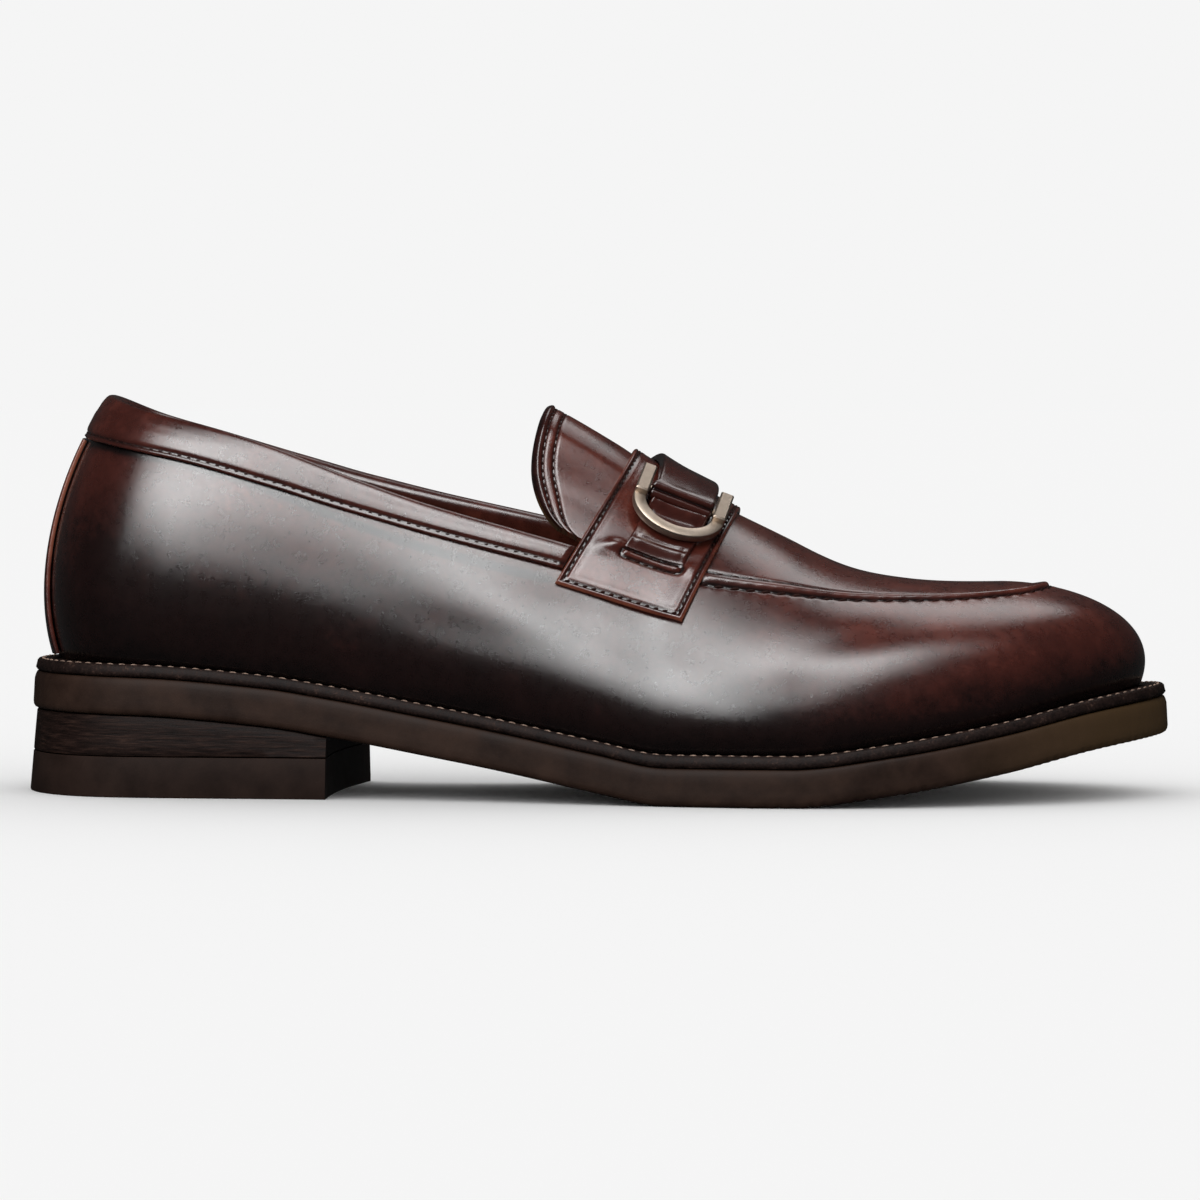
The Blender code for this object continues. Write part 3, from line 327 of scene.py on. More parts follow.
saddle = {
    "middle": 175.2 * mm,       # on the crest, from the heel's back
    "width": 31.4 * mm,
    "thick": 1.5 * mm,
    "backDrop": 24 * mm,        # lower corners below its middle
    "frontDrop": 33.2 * mm,
    "slopeSpan": 12 * mm,
    "throatCover": 8 * mm,
    "peak": 2.0 * mm,           # how much further back it reaches on the crest than at its sides
    "dip": 0.8 * mm,            # how far its front edge falls back on the crest
    "flare": 2.4 * mm,          # how far its front corners reach forward
    "stitchIn": 1.35 * mm,      # stitches in from the edge
    "stitchPitch": 2.35 * mm,
    "groove": 0.50 * mm,
    "edgeRound": 0.7 * mm,
    "lineIn": 3.2 * mm,         # a faint line pressed in beside the stitches
    "lineWide": 0.4 * mm,
    "lineDeep": 0.06 * mm,
    "tone": 0.66,
    "grooveShade": 0.58,         # painted shade: how much darker its stitch groove is drawn
    "rawTone": 0.28,            # how much lighter its cut edge is
}

saddleCentre = lastPoint(outer, turnOf(saddle["middle"]), 1.0)
crestRun = (lastPoint(outer, turnOf(saddle["middle"] + saddle["slopeSpan"]), 1.0)
            - lastPoint(outer, turnOf(saddle["middle"] - saddle["slopeSpan"]), 1.0))
crestSlope = math.atan2(crestRun[2], crestRun[0])
crestForward = np.array([math.cos(crestSlope), 0, math.sin(crestSlope)])
crestUpward = np.array([-math.sin(crestSlope), 0, math.cos(crestSlope)])
saddleBack = -saddle["width"] / 2
saddleFront = saddle["width"] / 2
throatLine = saddleBack + saddle["throatCover"]


def aheadOf(point):
    return (point - saddleCentre) @ crestForward


def aboveCrest(point):
    return (point - saddleCentre) @ crestUpward


def turnAcross(side, ahead, place):
    # The section whose point at this place lies that far ahead of the saddle's middle.
    ahead, place = np.broadcast_arrays(np.asarray(ahead, float), np.asarray(place, float))
    along = np.full(place.shape, saddle["middle"]) + ahead
    for _ in range(12):
        point = lastPoint(side, turnOf(along), place)
        along = along + (ahead - aheadOf(point)) / crestForward[0] * 0.7
    return turnOf(along)


def placeAcross(side, ahead, height):
    return halved(lambda place: lastPoint(side, turnAcross(side, ahead, place), place)[..., 2] < height,
                  np.full(np.shape(ahead), 0.15), np.ones(np.shape(ahead)))


def toplineMeets(side, ahead):
    def behind(along):
        turn = turnOf(along)
        return aheadOf(lastPoint(side, turn, toplinePlace(side, turn))) < ahead
    return float(turnOf(halved(behind, 0.4 * last["soleLength"], 0.55 * last["soleLength"])))


throatFoot = {side: toplineMeets(side, throatLine) for side in sides}
bindingEnd = {side: toplineMeets(side, saddleBack - last["fitGap"]) for side in sides}


def smooth(share):
    share = np.clip(share, 0, 1)
    return share * share * (3 - 2 * share)


def bell(distance, width):
    return np.exp(-(np.asarray(distance) / width)**2)


def crestSurface(aheads, places):
    # Points and normals laid across the crest: a place runs up the outer side to 1, then down the inner.
    aheads, places = np.broadcast_arrays(np.asarray(aheads, float), np.asarray(places, float))
    points, normals = np.zeros((*places.shape, 3)), np.zeros((*places.shape, 3))
    for side, chosen in ((outer, places <= 1), (inner, places > 1)):
        own = np.where(places > 1, 2 - places, places)[chosen]
        turns = turnAcross(side, aheads[chosen], own)
        points[chosen] = lastPoint(side, turns, own)
        normals[chosen] = lastNormal(side, turns, own)
    return points, normals


def wholeWay(side, place):
    # The place as crestSurface counts it: from 0 to 1 on the outer side, from 2 to 1 on the inner.
    return place if side == outer else 2 - place


def onCrest(aheads, places, lifts):
    points, normals = crestSurface(aheads, places)
    return points + normals * np.broadcast_to(lifts, points.shape[:-1])[..., None]


print("the last is ready")


def quads(rows, columns, start=0, closed=False):
    r, c = np.meshgrid(np.arange(rows - 1), np.arange(columns if closed else columns - 1), indexing="ij")
    n = (c + 1) % columns
    corners = [r * columns + c, r * columns + n, (r + 1) * columns + n, (r + 1) * columns + c]
    return (np.stack(corners, -1).reshape(-1, 4) + start).tolist()


def addObject(name, data):
    made = bpy.data.objects.new(name, data)
    bpy.context.scene.collection.objects.link(made)
    return made


def addPiece(name, points, faces, finish, stands=(), shade=None, sharp=None, weld=1e-6):
    # One piece of the shoe: welded, turned outwards, smooth, riding on the frame.
    mesh = bpy.data.meshes.new(name)
    spots = np.asarray(points).reshape(-1, 3) + shift
    mesh.from_pydata(spots.tolist(), [], faces)
    if shade is not None:
        tone = mesh.attributes.new("tone", "FLOAT", "POINT")
        tone.data.foreach_set("value", np.asarray(shade, float).ravel())
    work = bmesh.new()
    work.from_mesh(mesh)
    bmesh.ops.remove_doubles(work, verts=work.verts, dist=weld)
    bmesh.ops.recalc_face_normals(work, faces=work.faces)
    work.to_mesh(mesh)
    work.free()
    mesh.materials.append(finish)
    mesh.shade_smooth()
    if sharp:
        mesh.set_sharp_from_angle(angle=math.radians(sharp))
    piece = addObject(name, mesh)
    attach(piece, "root")
    if stands:
        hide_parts(*stands)
    print("made", name, len(mesh.polygons), "faces")
    return piece


def slabFaces(rows, columns):
    # Faces of a sheet given as two grids of the same size, joined round their rim.
    count = rows * columns
    faces = quads(rows, columns) + quads(rows, columns, count)
    rim = ([(0, c) for c in range(columns)] + [(r, columns - 1) for r in range(1, rows)]
           + [(rows - 1, c) for c in range(columns - 2, -1, -1)] + [(r, 0) for r in range(rows - 2, 0, -1)])
    for (r0, c0), (r1, c1) in zip(rim, rim[1:] + rim[:1]):
        a, b = r0 * columns + c0, r1 * columns + c1
        faces.append((a, b, b + count, a + count))
    return faces


def addSlab(name, under, over, finish, stands, underTones, overTones, sharp=None):
    points = np.concatenate([under.reshape(-1, 3), over.reshape(-1, 3)])
    shade = np.concatenate([underTones.ravel(), overTones.ravel()])
    return addPiece(name, points, slabFaces(*under.shape[:2]), finish, stands, shade, sharp)


def sweptFaces(count, size, closed=False):
    faces = quads(count, size, closed=True)
    if closed:
        faces += [((count - 1) * size + k, (count - 1) * size + (k + 1) % size, (k + 1) % size, k)
                  for k in range(size)]
    else:
        faces += [tuple(range(size)), tuple(range((count - 1) * size, count * size))]
    return faces


def edgeProfile(distance, radius):
    # Height of a rounded cut edge, from a low shoulder at the rim up to 1.
    share = np.clip(distance / radius, 0, 1)
    return 0.35 + 0.65 * np.sqrt(1 - (1 - share)**2)


def railSteps(length, near, count):
    # Distances from 0 to length, close together near both ends; length may be an array.
    length = np.asarray(length, float)[..., None]
    close = near * np.array([0, 0.06, 0.16, 0.3, 0.5, 0.72, 1.0])
    middle = np.linspace(0, 1, count + 1)[1:-1]
    ends = np.broadcast_to(close, (*length.shape[:-1], len(close)))
    return np.concatenate([ends, near + (length - 2 * near) * middle, length - ends[..., ::-1]], -1)


def everyNth(count, step):
    return sorted(set(range(0, count, step)) | {count - 1})


def walked(points):
    # Distance walked along a line of points.
    steps = np.linalg.norm(np.diff(points, axis=-2), axis=-1)
    start = np.zeros((*steps.shape[:-1], 1))
    return np.concatenate([start, np.cumsum(steps, axis=-1)], -1)


grain = {
    "cell": 0.42 * mm,      # size of a pebble in the leather's grain
    "pore": 0.20 * mm,
    "depth": 0.022 * mm,
    "wrinkle": 2.6 * mm,    # size of the slight unevenness under the polish
    "wrinkleDepth": 0.04 * mm,
    "tones": ((14 * mm, 4.0, 0.6, 0.10), (2.8 * mm, 3.0, 0.6, 0.05), (0.588 * mm, 2.0, 0.5, 0.02)),
    "coat": 0.80,           # the wax
    "coatRough": 0.11,
    "specular": 0.15,
}


def newMaterial(name):
    made = bpy.data.materials.new(name)
    made.use_nodes = True
    tree = made.node_tree
    return made, tree, tree.nodes.new("ShaderNodeTexCoord").outputs["Object"]


def feed(tree, node, inputs):
    # Links or sets a node's inputs by name.
    for name, value in inputs.items():
        if isinstance(value, bpy.types.NodeSocket):
            tree.links.new(value, node.inputs[name])
        else:
            node.inputs[name].default_value = value


def dressed(made, inputs):
    feed(made.node_tree, made.node_tree.nodes["Principled BSDF"], inputs)
    return made


def addNode(tree, kind, output, inputs, **settings):
    # One shader node; gives back the output that is used.
    node = tree.nodes.new("ShaderNode" + kind)
    for name, value in settings.items():
        setattr(node, name, value)
    feed(tree, node, inputs)
    return node.outputs[output]


def noiseNode(tree, place, size, detail=2.0, roughness=0.5):
    return addNode(tree, "TexNoise", "Fac", {
        "Vector": place, "Scale": 1 / size, "Detail": detail, "Roughness": roughness})


def rangeNode(tree, value, fromLow, fromHigh, toLow, toHigh):
    return addNode(tree, "MapRange", "Result", {
        "Value": value, "From Min": fromLow, "From Max": fromHigh, "To Min": toLow, "To Max": toHigh})


def mathNode(tree, kind, first, second):
    return addNode(tree, "Math", "Value", {0: first, 1: second}, operation=kind)


def rampNode(tree, value, stops):
    node = tree.nodes.new("ShaderNodeValToRGB")
    marks = node.color_ramp.elements
    marks[0].position, marks[1].position = stops[0][0], stops[-1][0]
    marks[0].color, marks[1].color = (*stops[0][1], 1), (*stops[-1][1], 1)
    for where, colour in stops[1:-1]:
        marks.new(where).color = (*colour, 1)
    feed(tree, node, {"Fac": value})
    return node.outputs["Color"]


def bumpNode(tree, height, strength, depth, below=None):
    inputs = {"Height": height, "Strength": strength, "Distance": depth}
    if below is not None:
        inputs["Normal"] = below
    return addNode(tree, "Bump", "Normal", inputs)


def cellNode(tree, place, size, wide):
    # The pebbles of a grain: 0 in the furrows between them, 1 on top.
    cells = addNode(tree, "TexVoronoi", "Distance", {"Vector": place, "Scale": 1 / size},
                    feature="DISTANCE_TO_EDGE")
    return rangeNode(tree, cells, 0.0, wide, 0.0, 1.0)


calfTones = [(0.0, (0.0016, 0.0007, 0.0007)), (0.30, (0.0052, 0.0016, 0.0014)),
             (0.6, (0.024, 0.0052, 0.0036)), (0.8, (0.056, 0.0125, 0.0080)), (1.0, (0.120, 0.036, 0.020))]


def leatherFinish(name, roughness):
    # Polished calf: the tone of each place is painted on the mesh, painted shade in grooves, creases and low
    # on the sides included; clouds and grain come from noise.
    made, tree, place = newMaterial(name)
    mixed = addNode(tree, "Attribute", "Fac", {}, attribute_name="tone")
    spots = [noiseNode(tree, place, *sizes) for *sizes, _ in grain["tones"]]
    for spot, (*_, reach) in zip(spots, grain["tones"]):
        mixed = mathNode(tree, "ADD", mixed, rangeNode(tree, spot, 0.3, 0.7, -reach, reach))
    normal = bumpNode(tree, cellNode(tree, place, grain["cell"], 0.28), 0.40, grain["depth"])
    normal = bumpNode(tree, noiseNode(tree, place, grain["pore"]), 0.30, grain["depth"], normal)
    wrinkles = noiseNode(tree, place, grain["wrinkle"], 3.0)
    normal = bumpNode(tree, wrinkles, 0.18, grain["wrinkleDepth"], normal)
    return dressed(made, {
        "Base Color": rampNode(tree, mixed, calfTones),
        "Roughness": rangeNode(tree, spots[1], 0.25, 0.75, roughness - 0.03, roughness + 0.04),
        "Normal": normal,
        "Coat Normal": normal,
        "Coat Weight": grain["coat"],
        "Coat Roughness": grain["coatRough"],
        "Specular IOR Level": grain["specular"],
    })


calf = leatherFinish("calf", 0.28)
strapCalf = leatherFinish("strap_calf", 0.22)


upper = {
    "wall": 1.4 * mm,           # the outer leather; the lining makes up the rest
    "backColumns": 110,
    "throatColumns": 26,
    "frontColumns": 190,
    "rowsBelow": 34,
    "rowsAbove": 24,
    "innerEvery": 7,
    "seamStep": 0.022,          # half the raised seam's width, as a share of a section
    "seamRise": 0.9 * mm,
    "seamClear": 0.4 * mm,
    "seamEase": 2.5 * mm,
    "groove": 0.42 * mm,
    "pucker": 0.13 * mm,        # how far the seam's stitches pull the leather in
    "stitchPitch": 4.1 * mm,
    "bandFrom": 0.46,           # where the rows leave the binding for the apron's seam
    "bandOver": 0.10,
    "keepBelow": 0.08,
    "grooveShade": 0.55,         # painted shade: how much darker the seam's grooves, and the strip under the collar's edge, are drawn
}
seamOffsets = np.array([-2.4, -1.7, -1.2, -0.85, -0.55, -0.32, -0.15, 0, 0.15, 0.32, 0.52, 0.75, 1, 1.25,
                        1.48, 1.68, 1.85, 2, 2.15, 2.35, 2.65, 3.05, 3.6])


def openingPlace(side, turns):
    # Upper edge of the upper: the topline, then the throat, then closed at the crest.
    foot = throatFoot[side]
    level = placeAtHeight(side, turns, toplineHeight[side](alongOf(np.minimum(turns, foot))))
    climb = halved(lambda place: aheadOf(lastPoint(side, turns, place)) > throatLine,
                   np.full(turns.shape, 0.2), np.ones(turns.shape))
    edge = np.where(turns > foot + 1e-6, climb, level)
    return np.where(edge > 0.99, 1.0, edge)


def seamShare(side, turns):
    # 0 under the saddle, 1 where the apron's seam has risen.
    start = alongOf(turnAcross(side, saddleFront + upper["seamClear"], float(seamPlace(saddle["middle"]))))
    return smooth((alongOf(turns) - start) / upper["seamEase"])


def rowLine(side, turns):
    along = alongOf(turns)
    lower = bandPlace(side, turns)
    share = smooth((along / last["soleLength"] - upper["bandFrom"]) / upper["bandOver"])
    return lower * (1 - share) + seamPlace(along) * share


def seamWalk(side, turns, line):
    # Distance along the seam from the toe tip.
    walk = walked(lastPoint(side, turns, line))
    return walk[-1] - walk


def upperPlaces(side, turns):
    edge = openingPlace(side, turns)
    line = np.minimum(rowLine(side, turns), edge - upper["keepBelow"])
    step = np.minimum(upper["seamStep"], (edge - line) / 4.4)
    under, over = line + step * seamOffsets[0], line + step * seamOffsets[-1]
    below = [under * share for share in np.linspace(0, 1, upper["rowsBelow"] + 1)[:-1]]
    seam = [line + step * offset for offset in seamOffsets]
    above = [over + (edge - over) * share for share in np.linspace(0, 1, upper["rowsAbove"] + 1)[1:]]
    places = np.array(below + seam + above)
    risen = seamShare(side, turns)
    dark = np.zeros(places.shape)
    share = alongOf(turns) / last["soleLength"]
    hem = 1 - smooth((share - upper["bandFrom"]) / 0.02)        # shade under the collar's edge
    walk = seamWalk(side, turns, line)
    pull = np.cos(2 * math.pi * walk / upper["stitchPitch"])
    lift = np.zeros(places.shape)
    for k, offset in enumerate(seamOffsets):
        ridge = math.cos(math.pi / 2 * min(abs(offset - 1), 1))**1.1 * upper["seamRise"]
        dip = (bell(offset, 0.26) + 0.8 * bell(offset - 2, 0.22)) * upper["groove"]
        tug = (bell(offset + 0.25, 0.6) - 0.5 * bell(offset - 0.6, 0.3)) * upper["pucker"] * pull
        tug = tug + bell(offset - 2, 0.35) * upper["pucker"] * 0.5 * pull
        lift[upper["rowsBelow"] + k] = (ridge - dip - tug) * risen
        # painted shade in the seam's grooves, and along the row under the collar's edge at the back
        dark[upper["rowsBelow"] + k] = dip / upper["groove"] * risen + bell(offset + 0.1, 0.5) * hem
    return places, lift, dark


def softFolds(points, folds):
    # Shallow creases, given one by one: middle, run (both as places on the shoe), length, width, depth.
    fall = np.zeros(points.shape[:-1])
    for along, height, runX, runZ, length, width, depth in folds:
        run = np.array([runX, runZ]) / math.hypot(runX, runZ)
        off = points[..., [0, 2]] - np.array([along, height])
        fall += depth * bell(off @ run, length) * bell(off @ np.array([-run[1], run[0]]), width)
    return fall


upperFolds = [      # along, height, run, length, width, depth in mm
    (30, 52, 0.25, 1.0, 16, 5.0, 0.35),
    (24, 34, 0.1, 1.0, 12, 4.0, 0.20),
    (148, 50, 1.0, -0.35, 16, 4.0, 0.45),
    (120, 44, 1.0, -0.20, 26, 6.0, 0.35),
    (205, 30, 1.0, 0.10, 22, 5.0, 0.25),
    (222, 44, 1.0, 0.25, 12, 3.0, 0.22),
    (235, 40, 1.0, 0.15, 14, 3.4, -0.18),
    (90, 58, 1.0, -0.30, 30, 7.0, 0.30),
]
foldSizes = np.array(upperFolds) * np.array([mm, mm, 1, 1, mm, mm, mm])


def upperSkin(side, turns, depth):
    places, lift, _ = upperPlaces(side, turns)
    spread = np.broadcast_to(turns, places.shape)
    rest = lastPoint(side, spread, places)
    fade = smooth(places / 0.12)
    fall = softFolds(rest, foldSizes) * fade if depth == 0 else 0.0
    grid = rest + lastNormal(side, spread, places) * (lift - depth - fall)[..., None]
    shared = places > 0.999
    shared[:, [0, -1]] = True
    if side == inner:
        grid[shared] = upperSkin(outer, turns, depth)[0][shared]
    grid[0, :, 2] = weltTop(grid[0, :, 0]) + last["fitGap"]
    return grid, openingPlace(side, turns) < 1


throatStart = min(throatFoot.values())
throatTop = float(turnAcross(outer, throatLine, 1.0))
turns = np.concatenate([
    np.linspace(0, throatStart, upper["backColumns"] + 1)[:-1],
    np.linspace(throatStart, throatTop, upper["throatColumns"] + 1)[:-1],
    np.linspace(throatTop, math.pi, upper["frontColumns"] + 1),
])


def wallFaces(rowsOut, rowsIn, columns, openTop, start):
    # A wall between an outside grid and a coarser inside grid, joined at the foot and the open edge.
    size = rowsOut * columns
    faces = quads(rowsOut, columns, start) + quads(rowsIn, columns, start + size)
    lastOut, lastIn = start + size - columns, start + size + (rowsIn - 1) * columns
    for c in range(columns - 1):
        faces.append((start + c, start + c + 1, start + size + c + 1, start + size + c))
        if openTop[c]:
            faces.append((lastOut + c, lastOut + c + 1, lastIn + c + 1, lastIn + c))
    return faces


def burnishAndShade(spots):
    # The polish, partly real burnish and partly painted shade: darkest low on the sides and round the heel,
    # with painted shade just above the welt, redder towards the toe and the top.
    x, z = spots[:, 0] / mm, spots[:, 2] / mm
    ground = weltTop(spots[:, 0] - shift[0]) / mm
    height = z - ground
    front = smooth((x - 10) / 90)
    low = smooth(height / (30 + 18 * (1 - front)))
    toneHere = 0.20 + 0.30 * low + 0.21 * front * smooth(height / 16)
    toneHere += 0.16 * smooth((height - 30) / 30) * (1 - front * 0.2)
    toneHere -= 0.10 * smooth((-85 - x) / 40)
    # painted shade where the upper meets the welt
    toneHere -= 0.16 * smooth(1 - height / 7)
    return toneHere


def makeUpper():
    points, tones, faces, count = [], [], [], 0
    for side in sides:
        outside, openTop = upperSkin(side, turns, 0)
        inside, _ = upperSkin(side, turns, upper["wall"])
        inside = inside[everyNth(len(inside), upper["innerEvery"])]
        faces += wallFaces(len(outside), len(inside), len(turns), openTop, count)
        points += [outside.reshape(-1, 3), inside.reshape(-1, 3)]
        # The seam's grooves and the strip under the collar's edge get painted shade.
        dark = upper["grooveShade"] * upperPlaces(side, turns)[2].ravel()
        tones += [burnishAndShade(points[-2] + shift) - dark, burnishAndShade(points[-1] + shift)]
        count += outside.size // 3 + inside.size // 3
    return addPiece("upper_calf", np.concatenate(points), faces, calf, ["upper"],
                    np.concatenate(tones))


def makeLining(finish):
    # A thin skin inside the calf, down to the welt.
    points, faces, count = [], [], 0
    few = turns[everyNth(len(turns), 3)]
    for side in sides:
        skins = []
        for depth in (upper["wall"] + 0.04 * mm, last["wall"]):
            grid, openTop = upperSkin(side, few, depth)
            skins.append(grid[everyNth(len(grid), 5)])
        faces += wallFaces(len(skins[0]), len(skins[1]), len(few), openTop, count)
        points += [skin.reshape(-1, 3) for skin in skins]
        count += 2 * skins[0].size // 3
    return addPiece("lining", np.concatenate(points), faces, finish)


def hideFinish(name, dark, light, roughness):
    # Undyed or stained leather with a fine nap, for the lining and the insole.
    made, tree, place = newMaterial(name)
    cloud = noiseNode(tree, place, 9 * mm, 5.0, 0.65)
    normal = bumpNode(tree, cellNode(tree, place, 0.7 * mm, 0.25), 0.5, 0.04 * mm)
    return dressed(made, {
        "Base Color": rampNode(tree, cloud, [(0.25, dark), (0.75, light)]),
        "Roughness": rangeNode(tree, cloud, 0.2, 0.8, roughness - 0.08, roughness + 0.08),
        "Normal": bumpNode(tree, noiseNode(tree, place, 3 * mm, 3.0), 0.4, 0.1 * mm, normal),
    })


liningHide = hideFinish("lining_hide", (0.16, 0.085, 0.034), (0.30, 0.17, 0.075), 0.55)
makeUpper()
makeLining(liningHide)


binding = {
    "thick": 1.5 * mm,
    "crown": 1.7 * mm,
    "inside": 5.0 * mm,
    "steps": 150,
    "around": 60,
    "stitchUp": 1.15 * mm,      # stitch row above the folded lower edge
    "stitchPitch": 2.65 * mm,
    "leanFrom": 0.75,
    "hemControl": 5,            # the control point that the stitches sit on
    "tone": 0.60,
    "hemShade": 0.34,            # painted shade: how much darker it is drawn along its stitches, where the line is pressed in
    # the rim's tone below is painted shade along its folded lower edge
    "rimTone": 0.25,
    "creaseAt": 0.215,          # the soft crease in its lower third, as a share of its girth
    "creaseWide": 0.028,
    "creaseDeep": 0.16 * mm,
    "creaseWave": 17 * mm,
    "rippleAt": 0.3,
    "rippleWide": 0.10,
    "rippleDeep": 0.05 * mm,
    "rippleWave": 4.5 * mm,
    "rippleDrift": 13 * mm,
}


def ridingPlace(side, turn, edge, share):
    # How the binding's cross-section leans with the saddle's edge near its end.
    end = bindingEnd[side]
    endEdge = toplinePlace(side, end)
    lean = smooth((share - binding["leanFrom"]) / (1 - binding["leanFrom"]))

    def ride(place, lift):
        square = turnAcross(side, saddleBack - last["fitGap"], endEdge + place - edge)
        return lifted(side, turn + (square - end) * lean, place, lift)
    return ride


def bindingControls(side, shares):
    # Control points of the padded roll, one ring for each share of the way from heel to saddle.
    turn = bindingEnd[side] * shares
    edge, low = toplinePlace(side, turn), bandPlace(side, turn)
    ride = ridingPlace(side, turn, edge, shares)
    span = np.linalg.norm(ride(edge, 0.0 * edge) - ride(low, 0.0 * edge), axis=-1)
    perMm = (edge - low) / span

    rim = ride(edge, 0.0 * edge)
    outward = unit(ride(edge, 1.0 * mm + 0 * edge) - rim)
    upward = unit(rim - ride(edge - 0.02, 0.0 * edge))
    gap, thick, crown, drop = last["layGap"], binding["thick"], binding["crown"], binding["inside"]
    full, inside = gap + thick, last["wall"] + gap

    def on(distance, lift):
        return ride(low + distance * perMm, lift + 0 * edge)

    def over(out, up):
        return rim + outward * out + upward * up

    return [
        on(0.0, gap), on(-0.12 * mm, gap + 0.35 * thick), on(0.10 * mm, gap + 0.72 * thick),
        on(0.55 * mm, gap + 0.80 * thick), on(0.95 * mm, gap + 0.58 * thick),
        on(binding["stitchUp"], gap + 0.50 * thick), on(1.45 * mm, gap + 0.62 * thick),
        on(2.1 * mm, gap + 0.92 * thick), on(span * 0.42, full * 1.03), on(span * 0.60, full * 1.10),
        on(span * 0.80, full * 1.10), over(full * 0.93, 0.12 * crown), over(full * 0.66, 0.60 * crown),
        over(full * 0.18, 0.92 * crown), over(-last["wall"] * 0.5, crown), over(-inside * 0.85, 0.86 * crown),
        over(-inside - thick * 0.45, 0.52 * crown), over(-inside - thick * 0.75, -0.2 * mm),
        over(-inside - thick * 0.88, -drop * 0.5), over(-inside - thick * 0.85, -drop * 0.92),
        over(-inside - thick * 0.5, -drop), over(-inside, -drop), over(-inside, -drop * 0.4),
        over(-inside, gap),
        over(-last["wall"] * 0.4, gap), over(gap, gap), on(span * 0.7, gap), on(span * 0.35, gap),
    ], outward


def rounded(rings, count):
    # A closed smooth line through control points, for many rings at once.
    rings = np.stack(rings, -2)
    size = rings.shape[-2]
    line = walked(rings[len(rings) // 2])
    where = np.linspace(0, line[-1] * (1 - 0.001), count)
    k = np.clip(np.searchsorted(line, where, side="right") - 1, 0, size - 2)
    u = ((where - line[k]) / (line[k + 1] - line[k]))[:, None]
    a, b, c, d = (rings[:, np.clip(k + j, 0, size - 1)] for j in (-1, 0, 1, 2))
    return 0.5 * (2 * b + (c - a) * u + (2 * a - 5 * b + 4 * c - d) * u**2 + (3 * b - a - 3 * c + d) * u**3)


def makeBinding():
    shares = np.linspace(0, 1, binding["steps"] + 1)
    rings, tones = [], []
    for side in sides:
        controls, outward = bindingControls(side, shares)
        ring = rounded(controls, binding["around"])
        girth = walked(np.stack(controls, -2)[len(shares) // 2])
        hem = girth[binding["hemControl"]] / girth[-1]
        walk = walked(controls[8])[:, None]
        place = np.linspace(0, 1, binding["around"])[None, :]
        crease = binding["creaseDeep"] * bell(place - binding["creaseAt"], binding["creaseWide"])
        crease = crease * (0.55 + 0.45 * np.sin(walk / binding["creaseWave"] + 1.0))
        ripple = binding["rippleDeep"] * bell(place - binding["rippleAt"], binding["rippleWide"])
        drift = 2.5 * np.sin(walk / binding["rippleDrift"])
        crease = crease + ripple * np.sin(walk / binding["rippleWave"] + drift)
        rings.append(ring - outward[:, None, :] * crease[..., None])
        # Painted shade along the pressed stitch line and at the folded lower edge.
        dark = binding["hemShade"] * bell(place - hem, 0.014) + binding["rimTone"] * smooth(1 - place / 0.02)
        tones.append(binding["tone"] - dark + 0 * walk)
    rings, tones = (np.concatenate([pair[0][::-1], pair[1][1:]]) for pair in (rings, tones))
    piece = addPiece("collar_roll", rings, sweptFaces(*rings.shape[:2]), calf,
                     ["collar_binding"], tones)
    return piece


makeBinding()


strip = {
    "thick": 1.2 * mm,
    "halfWidth": 10.5 * mm,
    "halfFoot": 16 * mm,
    "start": 0.012,
    "heelRadius": 34 * mm,
    "stitchIn": (1.2 * mm, 3.4 * mm),
    "stitchPitch": 2.4 * mm,
    "groove": 0.22 * mm,
    "rawTone": 0.60,            # how much lighter its cut edge is
}


def stripPlaces(side, rows, inset):
    # Turns and places of the heel strip: rows run up from the welt, the inset is from its own edge.
    foot = (1 - rows)**2
    half = strip["halfWidth"] + (strip["halfFoot"] - strip["halfWidth"]) * foot
    widen = 1 + (strip["halfFoot"] / strip["halfWidth"] - 1) * foot * smooth(inset / strip["halfWidth"])
    own = turnOf(0.5 * half**2 / strip["heelRadius"]) * (1 - inset * widen / half)
    tops = bandPlace(side, own, -2 * last["layGap"])
    return own, strip["start"] + (tops - strip["start"]) * rows


def makeStrip(finish):
    rows = railSteps(1.0, 0.02, 60)
    close = [0, 0.05, 0.14, 0.28, 0.45, 0.7]
    steps = np.concatenate([close, np.linspace(1.0, strip["halfWidth"] / mm, 20)]) * mm
    grids = []
    for side in sides:
        columns = []
        for step in steps:
            own, places = stripPlaces(side, rows, step)
            dips = sum(bell(step - groove, 0.35 * mm) for groove in strip["stitchIn"]) * strip["groove"]
            full = strip["thick"] * edgeProfile(step, 0.6 * mm) - dips
            under = lifted(side, own, places, last["layGap"] + 0 * rows)
            over = lifted(side, own, places, last["layGap"] + full)
            raw = strip["rawTone"] * bell(step, 0.35 * mm)
            # Painted shade in the stitch grooves; the cut edge is lighter.
            columns.append((under, over, burnishAndShade(over + shift) + raw - 1.5 * dips / mm))
        order = 1 if side == outer else -1
        grids.append([np.array(grid)[::order] for grid in zip(*columns)])
    under, over, tones = (np.concatenate([first, second[1:]]) for first, second in zip(*grids))
    return addSlab("back_strip", under, over, finish, ["heel_strip"], tones, tones)


makeStrip(calf)


def saddleEnds(aheads):
    share = (aheads - saddleBack) / saddle["width"]
    drop = saddle["backDrop"] + (saddle["frontDrop"] - saddle["backDrop"]) * share
    return {side: placeAcross(side, aheads, saddleCentre[2] - drop) for side in sides}


